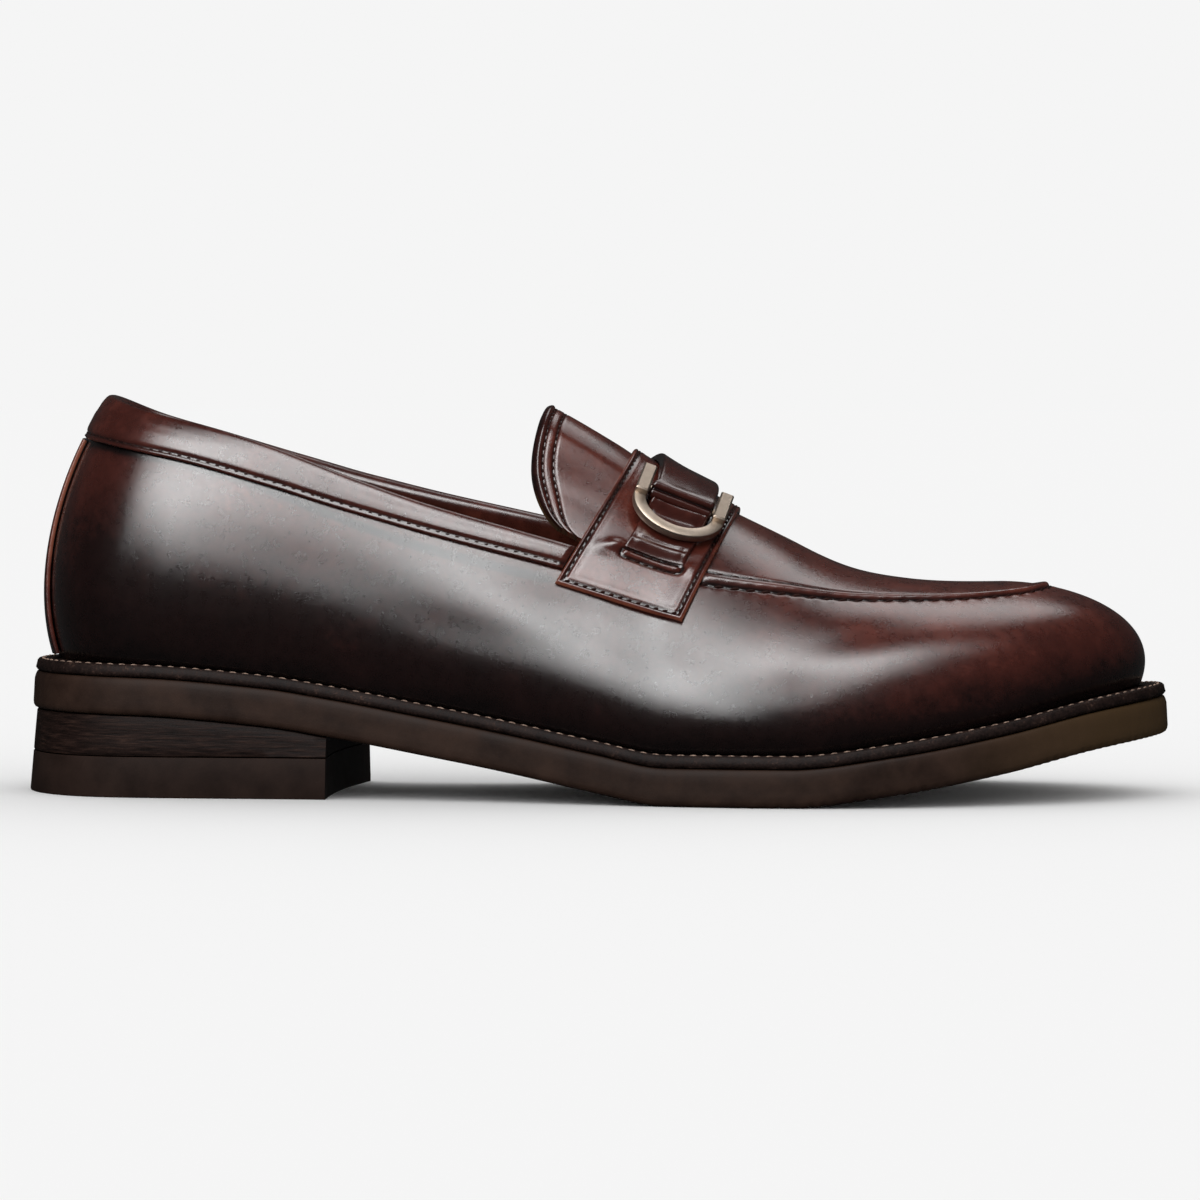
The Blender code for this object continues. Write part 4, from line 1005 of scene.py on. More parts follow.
def flared(aheads, spots, ends):
    # The saddle's rows bend back on the crest and forward at the front corners.
    own = np.where(spots <= 1, (1 - spots) / (1 - ends[outer]), (spots - 1) / (1 - ends[inner]))
    own = np.clip(own, 0, 1)
    share = (aheads - saddleBack) / saddle["width"]
    return (aheads - saddle["peak"] * (1 - share) * (1 - own)**2
            + share * (saddle["flare"] * own**2 - saddle["dip"] * (1 - own)))


def acrossTable(aheads, samples=140):
    # Arc length across the saddle for each ahead, to turn distances into places.
    ends = {side: end[:, None] for side, end in saddleEnds(aheads).items()}
    places = ends[outer] + (2 - ends[inner] - ends[outer]) * np.linspace(0, 1, samples)
    points, _ = crestSurface(flared(aheads[:, None], places, ends), places)
    return ends, places, walked(points)


def placesAt(tablePlaces, tableWalk, distances):
    return np.array([np.interp(d, w, p) for p, w, d in zip(tablePlaces, tableWalk, distances)])


bar = {
    "radius": 1.1 * mm,
    "below": {outer: 2.4 * mm, inner: 5.2 * mm},        # its middle below the crest
    "shift": -2.1 * mm,         # middle of the strap on the crest, from the saddle's
    "skew": 14 * mm,            # how far forward the strap runs down the outer side, for a whole section
    "footShift": -1.7 * mm,     # how far the tab's foot leans back from that line
    "hookRadius": 2.9 * mm,
    "hookEnd": -140,
    "bridgeWidth": 17.2 * mm,
    "bridgeThick": 2.6 * mm,
    "tabThick": 1.2 * mm,
    "tabWidth": 16.4 * mm,
    "tabReach": 19.5 * mm,
    "tabRows": 44,
    "tabTone": 0.58,
    "bridgeTone": 0.55,
    "curlClear": 0.6 * mm,
    "curlRise": 2.6 * mm,
    "curlLength": 3.2 * mm,
    "ringWidth": 25.0 * mm,
    "ringDepth": 14.5 * mm,
    "ringBand": 3.3 * mm,
    "ringThick": 2.2 * mm,
    "lugLong": 8.4 * mm,
    "lugWide": 3.5 * mm,
    "lugTop": 2.9 * mm,
    "lugUp": 2.4 * mm,          # how much further a lug runs towards the crest
    "pinch": (50, 12),          # the crease between the strap's two rolls, in degrees round the bar
    "ringClear": 1.0 * mm,
}
barLift = 3 * last["layGap"] + saddle["thick"] + bar["hookRadius"]


def squareTo(direction, forward):
    return unit(direction - forward * (direction @ forward))


def strapMiddle(side, place):
    # The strap's own middle line, which turns with the toe: forward down the outer side, back down the inner.
    return bar["shift"] - side * bar["skew"] * (1 - place)


def strapTurn(side, place, ahead=0.0):
    return turnAcross(side, strapMiddle(side, place) + ahead, place)


def onStrap(aheads, spots, lifts):
    return onCrest(aheads + bar["shift"] + bar["skew"] * (1 - spots), spots, lifts)


def barFrame(side):
    # The ring's bar along the side of the instep: its place, tilt, middle and axes, square to the strap.
    def middle(place, ahead=0.0):
        return lifted(side, strapTurn(side, place, ahead), place, barLift)
    place = float(halved(lambda spot: aboveCrest(middle(spot)) < -bar["below"][side], 0.2, 1.0))
    width, step = bar["bridgeWidth"], 0.01
    level = middle(place, width / 2) - middle(place, -width / 2)
    down = (middle(place - step) - middle(place)) / step
    tilt = -(down @ level) / (down @ down) / width
    forward = unit(middle(place - tilt * width / 2, width / 2) - middle(place + tilt * width / 2, -width / 2))
    outward = squareTo(lastNormal(side, strapTurn(side, place), place), forward)
    return {"place": place, "tilt": tilt, "middle": middle(place), "forward": forward, "outward": outward,
            "downhill": np.cross(forward, outward) * -side}


barFrames = {side: barFrame(side) for side in sides}


def placeBelowBar(side, distance):
    def point(place):
        return lastPoint(side, strapTurn(side, place), place)
    place = barFrames[side]["place"]
    start = point(place)
    return float(halved(lambda low: np.linalg.norm(point(low) - start) > distance, 0.2, place))


slotBar = {
    "below": 0.4 * mm,          # upper stitch line below the tab's foot
    "tall": 2.5 * mm,
    "wide": 16.8 * mm,
    "rise": 0.55 * mm,
    "groove": 0.5 * mm,
    "tone": 0.55,               # painted shade: how much darker its grooves are drawn
    "pull": 0.245 * mm,         # how far the saddle swells over the strap above the slot
    "folds": [                  # ahead of the slot's middle, below its line, long, wide, high
        (-10.2 * mm, 0.4 * mm, 2.6 * mm, 1.6 * mm, 0.75 * mm),
        (-12.5 * mm, 2.6 * mm, 3.2 * mm, 1.8 * mm, 0.40 * mm),
        (-10.8 * mm, 2.6 * mm, 2.4 * mm, 0.9 * mm, -0.25 * mm),
        (10.0 * mm, 0.8 * mm, 1.8 * mm, 2.0 * mm, 0.45 * mm),
    ],
}


def slotWalk(side, aheads, ends, places, walk):
    # For each row of the saddle: how far ahead of the strap's middle it meets the tab's foot, and where.
    foot = placeBelowBar(side, bar["tabReach"])
    own = {which: end[:, 0] for which, end in ends.items()}
    beside = flared(aheads, wholeWay(side, foot), own) - strapMiddle(side, foot) + side * bar["footShift"]
    line = wholeWay(side, foot - barFrames[side]["tilt"] * beside)
    return beside, np.array([np.interp(value, p, w) for value, p, w in zip(line, places, walk)])


def slotShape(aheads, below):
    # The stitched bar at the tab's foot, on the saddle: two grooves round a raised roll.
    half = slotBar["wide"] / 2
    past = np.maximum(abs(aheads) - (half - slotBar["tall"] / 2), 0)
    off = np.hypot(past, below - slotBar["below"] - slotBar["tall"] / 2)
    ring = off - slotBar["tall"] / 2
    lift = -slotBar["groove"] * bell(ring, 0.42 * mm)
    lift += slotBar["rise"] * smooth(1 - off / (slotBar["tall"] * 0.42))
    return lift


def makeSaddle(finish):
    aheads = saddleBack + railSteps(saddle["width"], 1.0 * mm, 54)
    ends, places, walk = acrossTable(aheads)
    total = walk[:, -1]
    distances = railSteps(total, 1.0 * mm, 190)
    spots = placesAt(places, walk, distances)
    points, normals = crestSurface(flared(aheads[:, None], spots, ends), spots)
    fromEdge = np.minimum(np.minimum(distances, total[:, None] - distances),
                          np.minimum(aheads - saddleBack, saddleFront - aheads)[:, None])
    lift = saddle["thick"] * edgeProfile(fromEdge, saddle["edgeRound"])
    groove = bell(fromEdge - saddle["stitchIn"], 0.42 * mm)
    lift -= saddle["groove"] * groove
    lift -= saddle["lineDeep"] * bell(fromEdge - saddle["lineIn"], saddle["lineWide"])
    # Painted shade in the stitch groove; the cut edge is lighter.
    tones = saddle["tone"] - saddle["grooveShade"] * groove + saddle["rawTone"] * bell(fromEdge, 0.35 * mm)
    for side in sides:
        beside, middle = slotWalk(side, aheads, ends, places, walk)
        beside = beside[:, None]
        below = (middle[:, None] - distances) * -side
        slot = np.where(abs(below) < 14 * mm, slotShape(beside, below), 0)
        lift += slot
        # painted shade in the slot's grooves
        tones += slotBar["tone"] * np.minimum(slot, 0) / slotBar["groove"]
        swell = smooth((1.5 * mm - below) / (3 * mm)) * smooth((14 * mm + below) / (9 * mm))
        lift += slotBar["pull"] * bell(beside, 9.5 * mm) * swell * (distances > 2 * mm)
        for at, fall, long, wide, high in slotBar["folds"]:
            lift += high * bell(beside - at, long) * bell(below - fall, wide)
    under = points + normals * last["layGap"]
    over = points + normals * (last["layGap"] + np.maximum(lift, 0.3 * mm))[..., None]
    return addSlab("saddle_strap", under, over, finish, ["saddle"], 0.5 + 0 * tones, tones,
                   sharp=60)


makeSaddle(strapCalf)


tongue = {
    "thick": 2.2 * mm,
    "reach": 27.6 * mm,
    "round": 0.88,
    "corner": 0.985,
    "power": 2.6,
    "foot": 0.50,
    "roll": 1.3 * mm,
    "stitchIn": (2.5 * mm, 5.3 * mm),
    "stitchPitch": 2.2 * mm,
    "groove": 0.42 * mm,
    "sinkFrom": 0.40,
    "tone": 0.70,
    "rimTone": 0.40,            # how much darker its rolled rim is
    # painted shade in the stitch grooves
    "grooveShade": 0.36,
}


def tongueSink(across):
    deep = last["wall"] + binding["thick"] + 2 * last["layGap"]
    return smooth((abs(across) - tongue["sinkFrom"]) / 0.40) * deep


def tongueBack(across):
    roundEnd = 1 - np.sqrt(1 - (abs(across) * tongue["corner"])**tongue["power"])
    return saddleBack - tongue["reach"] * (1 - tongue["round"] * roundEnd)


def tonguePlan():
    # The flap's plan in millimetres across and ahead: its edge, and the way in from it.
    across = np.sin(np.linspace(-1, 1, 141) * math.pi / 2)
    half, _ = crestSurface(saddleBack - 8 * mm, np.linspace(1 - tongue["foot"] + 0.001, 1, 40))
    scale = float(walked(half)[-1])
    edge = np.stack([across * scale, tongueBack(across)], -1)
    way = unit(np.gradient(edge, axis=0))
    aside = -way[:, 1] * (1 - smooth((abs(across) - 0.78) / 0.2))      # its sides run straight to the throat
    inward = np.stack([aside, np.sqrt(1 - aside**2)], -1)
    return edge, inward, scale


def tonguePoint(plan, scale, lift):
    across = np.clip(plan[..., 0] / scale, -0.9999, 0.9999)
    return onCrest(plan[..., 1], 1 + across * (1 - tongue["foot"]), lift - tongueSink(across))


def makeTongue(finish):
    edge, inward, scale = tonguePlan()
    front = throatLine - 2 * last["fitGap"]
    close = np.array([0, 0.08, 0.2, 0.36, 0.55, 0.8, 1.1, 1.45, 1.85, 2.2, 2.5, 2.8, 3.2, 3.7, 4.2, 4.7, 5.0,
                      5.3, 5.6, 6.0, 6.6]) * mm
    rows = []
    limit = front - edge[:, 1]
    for distance in close:
        step = np.minimum(distance, limit * distance / (close[-1] * 1.6))
        rows.append(edge + inward * step[:, None])
    rim = rows[-1]
    for share in np.linspace(0, 1, 40)[1:]:
        target = np.stack([rim[:, 0], np.full(len(rim), front)], -1)
        rows.append(rim + (target - rim) * share)
    plan = np.array(rows)
    distance = np.concatenate([close, np.full(len(plan) - len(close), 20 * mm)])[:, None] + 0 * plan[..., 0]
    lift = -tongue["thick"] * (1 - edgeProfile(distance, 1.0 * mm)) * 0.75
    lift += 0.38 * mm * bell(distance - tongue["roll"], 0.6 * mm)
    tones = tongue["tone"] - tongue["rimTone"] * smooth(1 - distance / (2.4 * mm))
    for inset in tongue["stitchIn"]:
        groove = bell(distance - inset, 0.40 * mm)
        lift -= tongue["groove"] * groove
        # painted shade in the stitch groove
        tones -= tongue["grooveShade"] * groove
    over = tonguePoint(plan, scale, lift)
    under = tonguePoint(plan, scale, -tongue["thick"] + 0 * lift)
    return addSlab("tongue_flap", under, over, finish, ["tongue"], tones, tones, sharp=70)


makeTongue(calf)


def makeTab(side, finish):
    # The strap's end on the saddle, from its slot up under the ring.
    top = placeBelowBar(side, bar["hookRadius"] + bar["curlClear"])
    foot = placeBelowBar(side, bar["tabReach"])
    ease = placeBelowBar(side, bar["hookRadius"] + bar["curlClear"] + bar["curlLength"])
    places = np.linspace(foot, top, bar["tabRows"])
    curl = bar["curlRise"] * smooth((places - ease) / (top - ease))**1.5
    base = 2 * last["layGap"] + saddle["thick"]
    aheads = (railSteps(bar["tabWidth"], 0.8 * mm, 26) - bar["tabWidth"] / 2)[:, None]
    fromEdge = np.minimum(aheads + bar["tabWidth"] / 2, bar["tabWidth"] / 2 - aheads)
    places = places - barFrames[side]["tilt"] * aheads
    run = np.linspace(0, 1, bar["tabRows"])[None, :]
    aheads = aheads - side * bar["footShift"] * (1 - run)
    spots = wholeWay(side, places)
    puff = 0.35 * mm * np.sin(math.pi * run) * smooth(fromEdge / (3 * mm))
    line = 0.14 * mm * bell(fromEdge - 1.6 * mm, 0.3 * mm)      # pressed in along its edges
    lift = bar["tabThick"] * edgeProfile(fromEdge, 0.6 * mm) - line + puff
    lift = lift * (0.10 + 0.90 * smooth(run / 0.15))        # the foot dives into the slot
    lift = lift - 0.22 * mm * bell(run - 0.22, 0.03) * smooth(fromEdge / (2 * mm))
    under = onStrap(aheads, spots, base + curl)
    over = onStrap(aheads, spots, base + curl + lift)
    name = "tab_outer" if side == outer else "tab_inner"
    tones = np.full(under.shape[:2], bar["tabTone"])
    return addSlab(name + "_strap", under, over, finish, [name], tones, tones, sharp=60)


for side in sides:
    makeTab(side, strapCalf)


def makeBridge(finish):
    # The strap over the crest, hooked round both bars: a full roll, a pinch at the bar, a lesser roll below.
    angles = np.radians(np.linspace(90, bar["hookEnd"], 44))
    aheads = railSteps(bar["bridgeWidth"], 0.9 * mm, 22) - bar["bridgeWidth"] / 2
    fromEdge = np.minimum(aheads + bar["bridgeWidth"] / 2, bar["bridgeWidth"] / 2 - aheads)
    easeIn = 0.55 * mm * (1 - edgeProfile(fromEdge, 0.8 * mm)) / 0.65

    def crossing(over, rows):
        rings = []
        for side in sides:
            barPlace = (barFrames[side]["place"] - barFrames[side]["tilt"] * aheads)[:, None]
            places = barPlace + (1 - barPlace) * np.linspace(0, 1, rows + 1)
            atBar = barLift + (bar["hookRadius"] if over else bar["radius"] + last["fitGap"])
            rest = 2 * last["layGap"] + saddle["thick"] + (bar["bridgeThick"] if over else 0)
            lift = rest + (atBar - rest) * ((1 - places) / (1 - barPlace))**1.6
            ease = easeIn if over else 0 * easeIn
            run = onStrap(aheads[:, None], wholeWay(side, places), lift - ease[:, None])
            rings.append(run[:, 1:] if side == outer else run[:, 1:-1][:, ::-1])
        return np.concatenate(rings, 1)

    def hook(side, outside):
        here = barFrames[side]
        middle = here["middle"] + here["forward"] * aheads[:, None]
        degrees = np.degrees(angles)
        radius = np.full(angles.shape, bar["hookRadius"] if outside else bar["radius"] + last["fitGap"])
        if outside:
            radius = radius - 0.95 * mm * bell(degrees - bar["pinch"][0], bar["pinch"][1])
            radius = radius + 0.20 * mm * bell(degrees - 92, 20) + 0.25 * mm * bell(degrees - 8, 20)
        radius = radius[None, :] - (easeIn[:, None] if outside else 0)
        way = np.cos(angles)[:, None] * here["downhill"] + np.sin(angles)[:, None] * here["outward"]
        return middle[:, None, :] + way[None] * radius[..., None]

    rings = np.concatenate([
        hook(outer, True)[:, ::-1], crossing(True, 16), hook(inner, True),
        hook(inner, False)[:, ::-1], crossing(False, 16)[:, ::-1], hook(outer, False),
    ], 1)
    # Painted shade in the pinch between the two rolls.
    crease = 0.40 * bell(np.degrees(angles) - bar["pinch"][0], 9)
    tones = np.full(rings.shape[:2], bar["bridgeTone"])
    tones[:, :len(angles)] -= crease[::-1]
    tones -= 0.2 * bell(fromEdge, 0.5 * mm)[:, None]
    return addPiece("bridge_roll", rings, sweptFaces(*rings.shape[:2]), finish,
                    ["bridge_strap"], tones, sharp=60)


makeBridge(strapCalf)


def metalFinish():
    made, tree, place = newMaterial("satin_nickel")
    brushed = noiseNode(tree, place, 0.35 * mm, 3.0, 0.6)
    worn = noiseNode(tree, place, 4 * mm, 3.0, 0.6)
    return dressed(made, {
        "Base Color": rampNode(tree, worn, [(0.3, (0.43, 0.35, 0.28)), (0.7, (0.55, 0.46, 0.38))]),
        "Roughness": rangeNode(tree, brushed, 0.3, 0.7, 0.34, 0.48),
        "Normal": bumpNode(tree, brushed, 0.25, 0.02 * mm),
        "Metallic": 1.0,
    })


def boxPoints(place, low, high, bevel):
    # A block with its edges cut: four rounded rectangles in a stack.
    layers = []
    for out, inset in ((low[2], bevel), (low[2] + bevel, 0), (high[2] - bevel, 0), (high[2], bevel)):
        ring = []
        for cx, cy, start in ((high[0] - bevel, high[1] - bevel, 0), (low[0] + bevel, high[1] - bevel, 90),
                              (low[0] + bevel, low[1] + bevel, 180), (high[0] - bevel, low[1] + bevel, 270)):
            for turn in (0, 30, 60, 90):
                angle = math.radians(start + turn)
                reach = bevel - inset * 0.999
                ring.append(place(cx + math.cos(angle) * reach, cy + math.sin(angle) * reach, out))
        layers.append(ring)
    return np.array(layers)


def makeRing(side, finish):
    here = barFrames[side]
    low = placeBelowBar(side, bar["ringDepth"] - bar["ringBand"] / 2)
    rest = (3 * last["layGap"] + saddle["thick"] + bar["tabThick"] + bar["ringThick"] / 2 + bar["ringClear"])
    seat = lifted(side, strapTurn(side, low), low, rest)
    downhill = squareTo(seat - here["middle"], here["forward"])
    outward = np.cross(here["forward"], downhill) * side

    def place(ahead, down, out):
        return here["middle"] + here["forward"] * ahead + downhill * down + outward * out

    half, thick, cut = bar["ringWidth"] / 2, bar["ringThick"] / 2, 0.38 * mm
    start = bar["lugLong"] / 2 - 0.8 * mm
    points, faces, count = [], [], 0

    def join(rings, closed=False):
        nonlocal count
        rings = np.asarray(rings)
        faces.extend([tuple(i + count for i in face) for face in sweptFaces(*rings.shape[:2], closed)])
        points.append(rings.reshape(-1, 3))
        count += rings.shape[0] * rings.shape[1]

    rings = []
    deep, slim = bar["ringDepth"] - start, bar["ringBand"]
    profile = [(0, -thick + cut), (cut * 0.3, -thick + cut * 0.3), (cut, -thick), (slim - cut, -thick),
               (slim - cut * 0.3, -thick + cut * 0.3), (slim, -thick + cut), (slim, thick - cut),
               (slim - cut * 0.3, thick - cut * 0.3), (slim - cut, thick), (cut, thick),
               (cut * 0.3, thick - cut * 0.3), (0, thick - cut)]
    for angle in np.linspace(0, math.pi, 73):
        rings.append([place(math.cos(angle) * (half - inset), start + math.sin(angle) * (deep - inset), out)
                      for inset, out in profile])
    join(rings)
    ends = (-half + bar["lugWide"] / 2, half - bar["lugWide"] / 2)
    up = bar["lugUp"] if side == outer else 0
    rod = [[place(ahead, math.cos(t) * bar["radius"], math.sin(t) * bar["radius"])
            for t in np.linspace(0, 2 * math.pi, 24, endpoint=False)] for ahead in ends]
    join(rod)
    for end in (-1, 1):
        near, far = sorted([end * (half + 0.05 * mm), end * (half - bar["lugWide"])])
        join(boxPoints(place, (near, -bar["lugLong"] / 2 - up, -thick - 0.05 * mm),
                       (far, bar["lugLong"] / 2, bar["lugTop"]), 0.42 * mm))
    name = "ring_outer" if side == outer else "ring_inner"
    return addPiece(name + "_metal", np.concatenate(points), faces, finish, [name],
                    sharp=28, weld=1e-7)


nickel = metalFinish()
for side in sides:
    makeRing(side, nickel)


sole = {
    "columns": 260,             # along each side
    "weltStrip": 12.6 * mm,
    "edgeSlant": 0.6 * mm,
    "treadStep": 1.0 * mm,
    "stud": 2.9 * mm,           # pitch of the teeth under the toe's edge
    "studDeep": 0.45 * mm,
    "rough": 0.16 * mm,         # how uneven the welt's cut edge is
    "stitchIn": 1.15 * mm,      # welt stitches in from its top edge
    "stitchPitch": 3.3 * mm,
    "breast": 83.5 * mm,
    "breastSkew": 2.7 * mm,
    "breastHollow": 2.0 * mm,
    "flare": 1.9 * mm,
    "topLift": 10.6 * mm,
    "heelSteps": 60,            # along each side of the heel
    "breastSteps": 12,
}
soleTurns = np.linspace(0, math.pi, sole["columns"] + 1)
soleLoop = [(outer, turn) for turn in soleTurns] + [(inner, turn) for turn in soleTurns[-2:0:-1]]
loopSide = np.array([side for side, _ in soleLoop])
loopTurn = np.array([turn for _, turn in soleLoop])


def soleRing(inset, height):
    # One ring of points round the sole: an inset and a height over the outsole's underside for each.
    size = len(soleLoop)
    inset, height = np.broadcast_to(inset, size), np.broadcast_to(height, size)
    points = np.zeros((size, 3))
    for side in sides:
        chosen = loopSide == side
        points[chosen, :2] = outlinePoint(side, loopTurn[chosen], inset[chosen])
    points[:, 2] = underside(points[:, 0]) + height
    return points


edgeLine = soleRing(0.0, 0.0)
loopWalk = walked(edgeLine)
loopX = edgeLine[:, 0]


def jagged(walk, sizes, seed):
    # A repeatable uneven line, as a sum of slow and quick waves.
    chance = np.random.default_rng(seed)
    line = 0
    for size in sizes:
        line = line + np.sin(2 * math.pi * walk / size + chance.uniform(0, 6.28)) * chance.uniform(0.6, 1.0)
        line = line + 0.5 * np.sin(2 * math.pi * walk / (size * 0.37) + chance.uniform(0, 6.28))
    return line / (1.5 * len(sizes))


def plateFaces(levels, size):
    faces = quads(levels, size, closed=True)
    half = size // 2
    for start in (0, (levels - 1) * size):
        for k in range(half):
            corners = (start + k, start + k + 1, start + size - k - 1, start + (size - k) % size)
            faces.append(tuple(dict.fromkeys(corners)))
    return faces


def makeOutsole(finish):
    toe = smooth((loopX - 175 * mm) / (40 * mm))
    teeth = 0.5 + 0.5 * np.cos(2 * math.pi * loopWalk / sole["stud"])
    bite = sole["studDeep"] * teeth**2 * toe
    wear = 0.05 * mm * jagged(loopWalk, (2.3 * mm, 7.1 * mm), 4)
    top = last["outsoleThick"]
    levels = [
        soleRing(6 * mm, 0.0), soleRing(sole["treadStep"] + 0.2 * mm, 0.0 + bite * 0.6),
        soleRing(sole["treadStep"] * 0.45 + bite * 0.6, sole["treadStep"] * 0.35 + bite),
        soleRing(0.08 * mm + bite * 0.5, sole["treadStep"] + bite),
        soleRing(wear, sole["treadStep"] * 1.8), soleRing(0.1 * mm + wear, top * 0.35),
        soleRing(0.24 * mm + wear, top * 0.62), soleRing(0.36 * mm + wear, top * 0.80),
        soleRing(0.62 * mm + wear * 0.5, top * 0.90), soleRing(0.95 * mm, top - 0.25 * mm),
        soleRing(1.3 * mm, top),
    ]
    return addPiece("outsole_rubber", np.concatenate(levels), plateFaces(len(levels), len(soleLoop)), finish,
                    ["outsole"], sharp=50)


def makeWelt(finish):
    base = last["outsoleThick"] + last["fitGap"]
    tall = last["weltThick"]
    chip = sole["rough"] * jagged(loopWalk, (0.9 * mm, 1.9 * mm, 5.3 * mm), 7)
    lump = 0.10 * mm * jagged(loopWalk, (1.7 * mm, 3.1 * mm), 11)
    slant = last["weltSlant"]
    stitch = slant + sole["stitchIn"]
    profile = [
        (sole["edgeSlant"] + 0.55 * mm, 0.0), (sole["edgeSlant"] + 0.05 * mm + chip, 0.22 * tall),
        (slant * 0.62 + chip * 0.6, 0.50 * tall), (slant * 0.78 + chip, 0.80 * tall),
        (slant + 0.15 * mm + chip, 0.96 * tall + lump), (slant + 0.45 * mm, tall + lump * 0.6),
        (stitch - 0.35 * mm, tall - 0.06 * mm), (stitch, tall - 0.22 * mm),
        (stitch + 0.4 * mm, tall - 0.05 * mm), (stitch + 0.9 * mm, tall),
        (sole["weltStrip"], tall), (sole["weltStrip"], 0.0),
    ]
    rings = np.stack([soleRing(inset, base + height) for inset, height in profile], 1)
    return addPiece("welt_strip", rings, sweptFaces(len(rings), rings.shape[1], closed=True), finish,
                    ["welt"], sharp=55)


def heelRing(flare, height):
    # The heel's outline at one level, closed by a hollow breast.
    reach = {outer: sole["breast"], inner: sole["breast"] + sole["breastSkew"]}
    steps = np.linspace(0, 1, sole["heelSteps"] + 1)
    flat = np.concatenate([outlinePoint(side, turnOf(reach[side]) * order, np.full(len(order), -flare))
                           for side, order in ((outer, steps[::-1]), (inner, steps[1:]))])
    start, end = flat[-1], flat[0]
    across = np.linspace(0, 1, sole["breastSteps"] + 2)[1:-1, None]
    front = start + (end - start) * across
    front[:, 0] -= sole["breastHollow"] * np.sin(math.pi * across[:, 0])
    flat = np.concatenate([flat, front])
    return np.concatenate([flat, height(flat[:, 0])[:, None]], -1)


def addHeelPiece(name, rings, finish, node):
    size = 2 * sole["heelSteps"] + 1 + sole["breastSteps"]
    faces = quads(len(rings), size, closed=True)
    for start in (0, (len(rings) - 1) * size):
        faces.append(tuple(range(start, start + size)))
    addPiece(name, np.concatenate(rings), faces, finish, [node], sharp=40)


def makeHeel(stackFinish, liftFinish):
    seat = -sole["treadStep"]
    foot = sole["flare"] - sole["treadStep"]
    join = seat + (foot - seat) * (1 - sole["topLift"] / last["heelPitch"])
    lift, cut = sole["topLift"], 0.35 * mm
    profile = [(foot - cut, 0.0), (foot - cut * 0.3, cut * 0.3), (foot, cut),
               (join + 0.03 * mm, lift - cut * 0.5), (join - cut * 0.5, lift)]
    rings = [heelRing(flare, lambda x, level=level: level + 0 * x) for flare, level in profile]
    addHeelPiece("top_lift", rings, liftFinish, "heel_top_lift")
    low = lift + last["fitGap"]
    rings = []
    insets = ((0, 0.2 * mm), (0.03, 0.02 * mm), (0.3, 0), (0.65, 0), (0.97, 0.02 * mm), (1, 0.2 * mm))
    for share, inset in insets:
        def height(x, share=share):
            return low + (underside(x) - last["fitGap"] - low) * share
        rings.append(heelRing(join + (seat - join) * share - inset, height))
    addHeelPiece("heel_layers", rings, stackFinish, "heel_stack")


def rubberFinish(name, dark, light, toe=None):
    # Moulded rubber: a dull skin with fine pitting, warmer where the light comes through at the toe.
    made, tree, place = newMaterial(name)
    cloud = noiseNode(tree, place, 11 * mm, 4.0, 0.6)
    colour = rampNode(tree, cloud, [(0.3, dark), (0.7, light)])
    if toe:
        along = addNode(tree, "SeparateXYZ", "X", {"Vector": place})
        near = rangeNode(tree, along, 0.095, 0.150, 0.0, 1.0)
        colour = addNode(tree, "Mix", "Result", {"Factor": near, "A": colour, "B": (*toe, 1)},
                         data_type="RGBA")
    normal = bumpNode(tree, noiseNode(tree, place, 0.45 * mm, 3.0, 0.6), 0.5, 0.05 * mm)
    return dressed(made, {
        "Base Color": colour,
        "Roughness": rangeNode(tree, cloud, 0.2, 0.8, 0.46, 0.62),
        "Specular IOR Level": 0.10,
        "Normal": bumpNode(tree, noiseNode(tree, place, 2.2 * mm), 0.35, 0.08 * mm, normal),
    })


def stackFinish():
    # Pressed leather layers: fine level lines with broken edges.
    made, tree, place = newMaterial("heel_stack_leather")
    level = addNode(tree, "Mapping", "Vector", {"Vector": place, "Scale": (1.0, 1.0, 14.0)})
    lines = noiseNode(tree, level, 7 * mm, 6.0, 0.7)
    return dressed(made, {
        "Base Color": rampNode(tree, lines, [(0.35, (0.0026, 0.0014, 0.0012)),
                                             (0.55, (0.0095, 0.0045, 0.0034)), (0.8, (0.030, 0.015, 0.010))]),
        "Roughness": rangeNode(tree, lines, 0.2, 0.8, 0.42, 0.62),
        "Specular IOR Level": 0.08,
        "Normal": bumpNode(tree, lines, 0.8, 0.16 * mm),
    })


def weltFinish():
    made, tree, place = newMaterial("welt_hide")
    fray = noiseNode(tree, place, 0.8 * mm, 4.0, 0.7)
    cloud = noiseNode(tree, place, 6 * mm, 3.0, 0.6)
    mixed = mathNode(tree, "ADD", rangeNode(tree, fray, 0.3, 0.7, 0.0, 0.6),
                     rangeNode(tree, cloud, 0.3, 0.7, 0.0, 0.4))
    return dressed(made, {
        "Base Color": rampNode(tree, mixed, [(0.2, (0.0034, 0.0018, 0.0016)), (0.7, (0.0105, 0.0052, 0.0040)),
                                             (1.0, (0.045, 0.024, 0.017))]),
        "Roughness": rangeNode(tree, fray, 0.2, 0.8, 0.45, 0.65),
        "Specular IOR Level": 0.10,
        "Normal": bumpNode(tree, fray, 0.8, 0.14 * mm),
    })


soleRubber = rubberFinish("outsole_skin", (0.0085, 0.0040, 0.0026), (0.020, 0.0100, 0.0064),
                          toe=(0.034, 0.019, 0.007))
liftRubber = rubberFinish("top_lift_skin", (0.0085, 0.0045, 0.0034), (0.016, 0.0085, 0.0062))
makeOutsole(soleRubber)
makeWelt(weltFinish())
makeHeel(stackFinish(), liftRubber)
insoleHide = hideFinish("insole_hide", (0.12, 0.065, 0.028), (0.22, 0.13, 0.06), 0.5)
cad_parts["insole"].data.materials.clear()
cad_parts["insole"].data.materials.append(insoleHide)


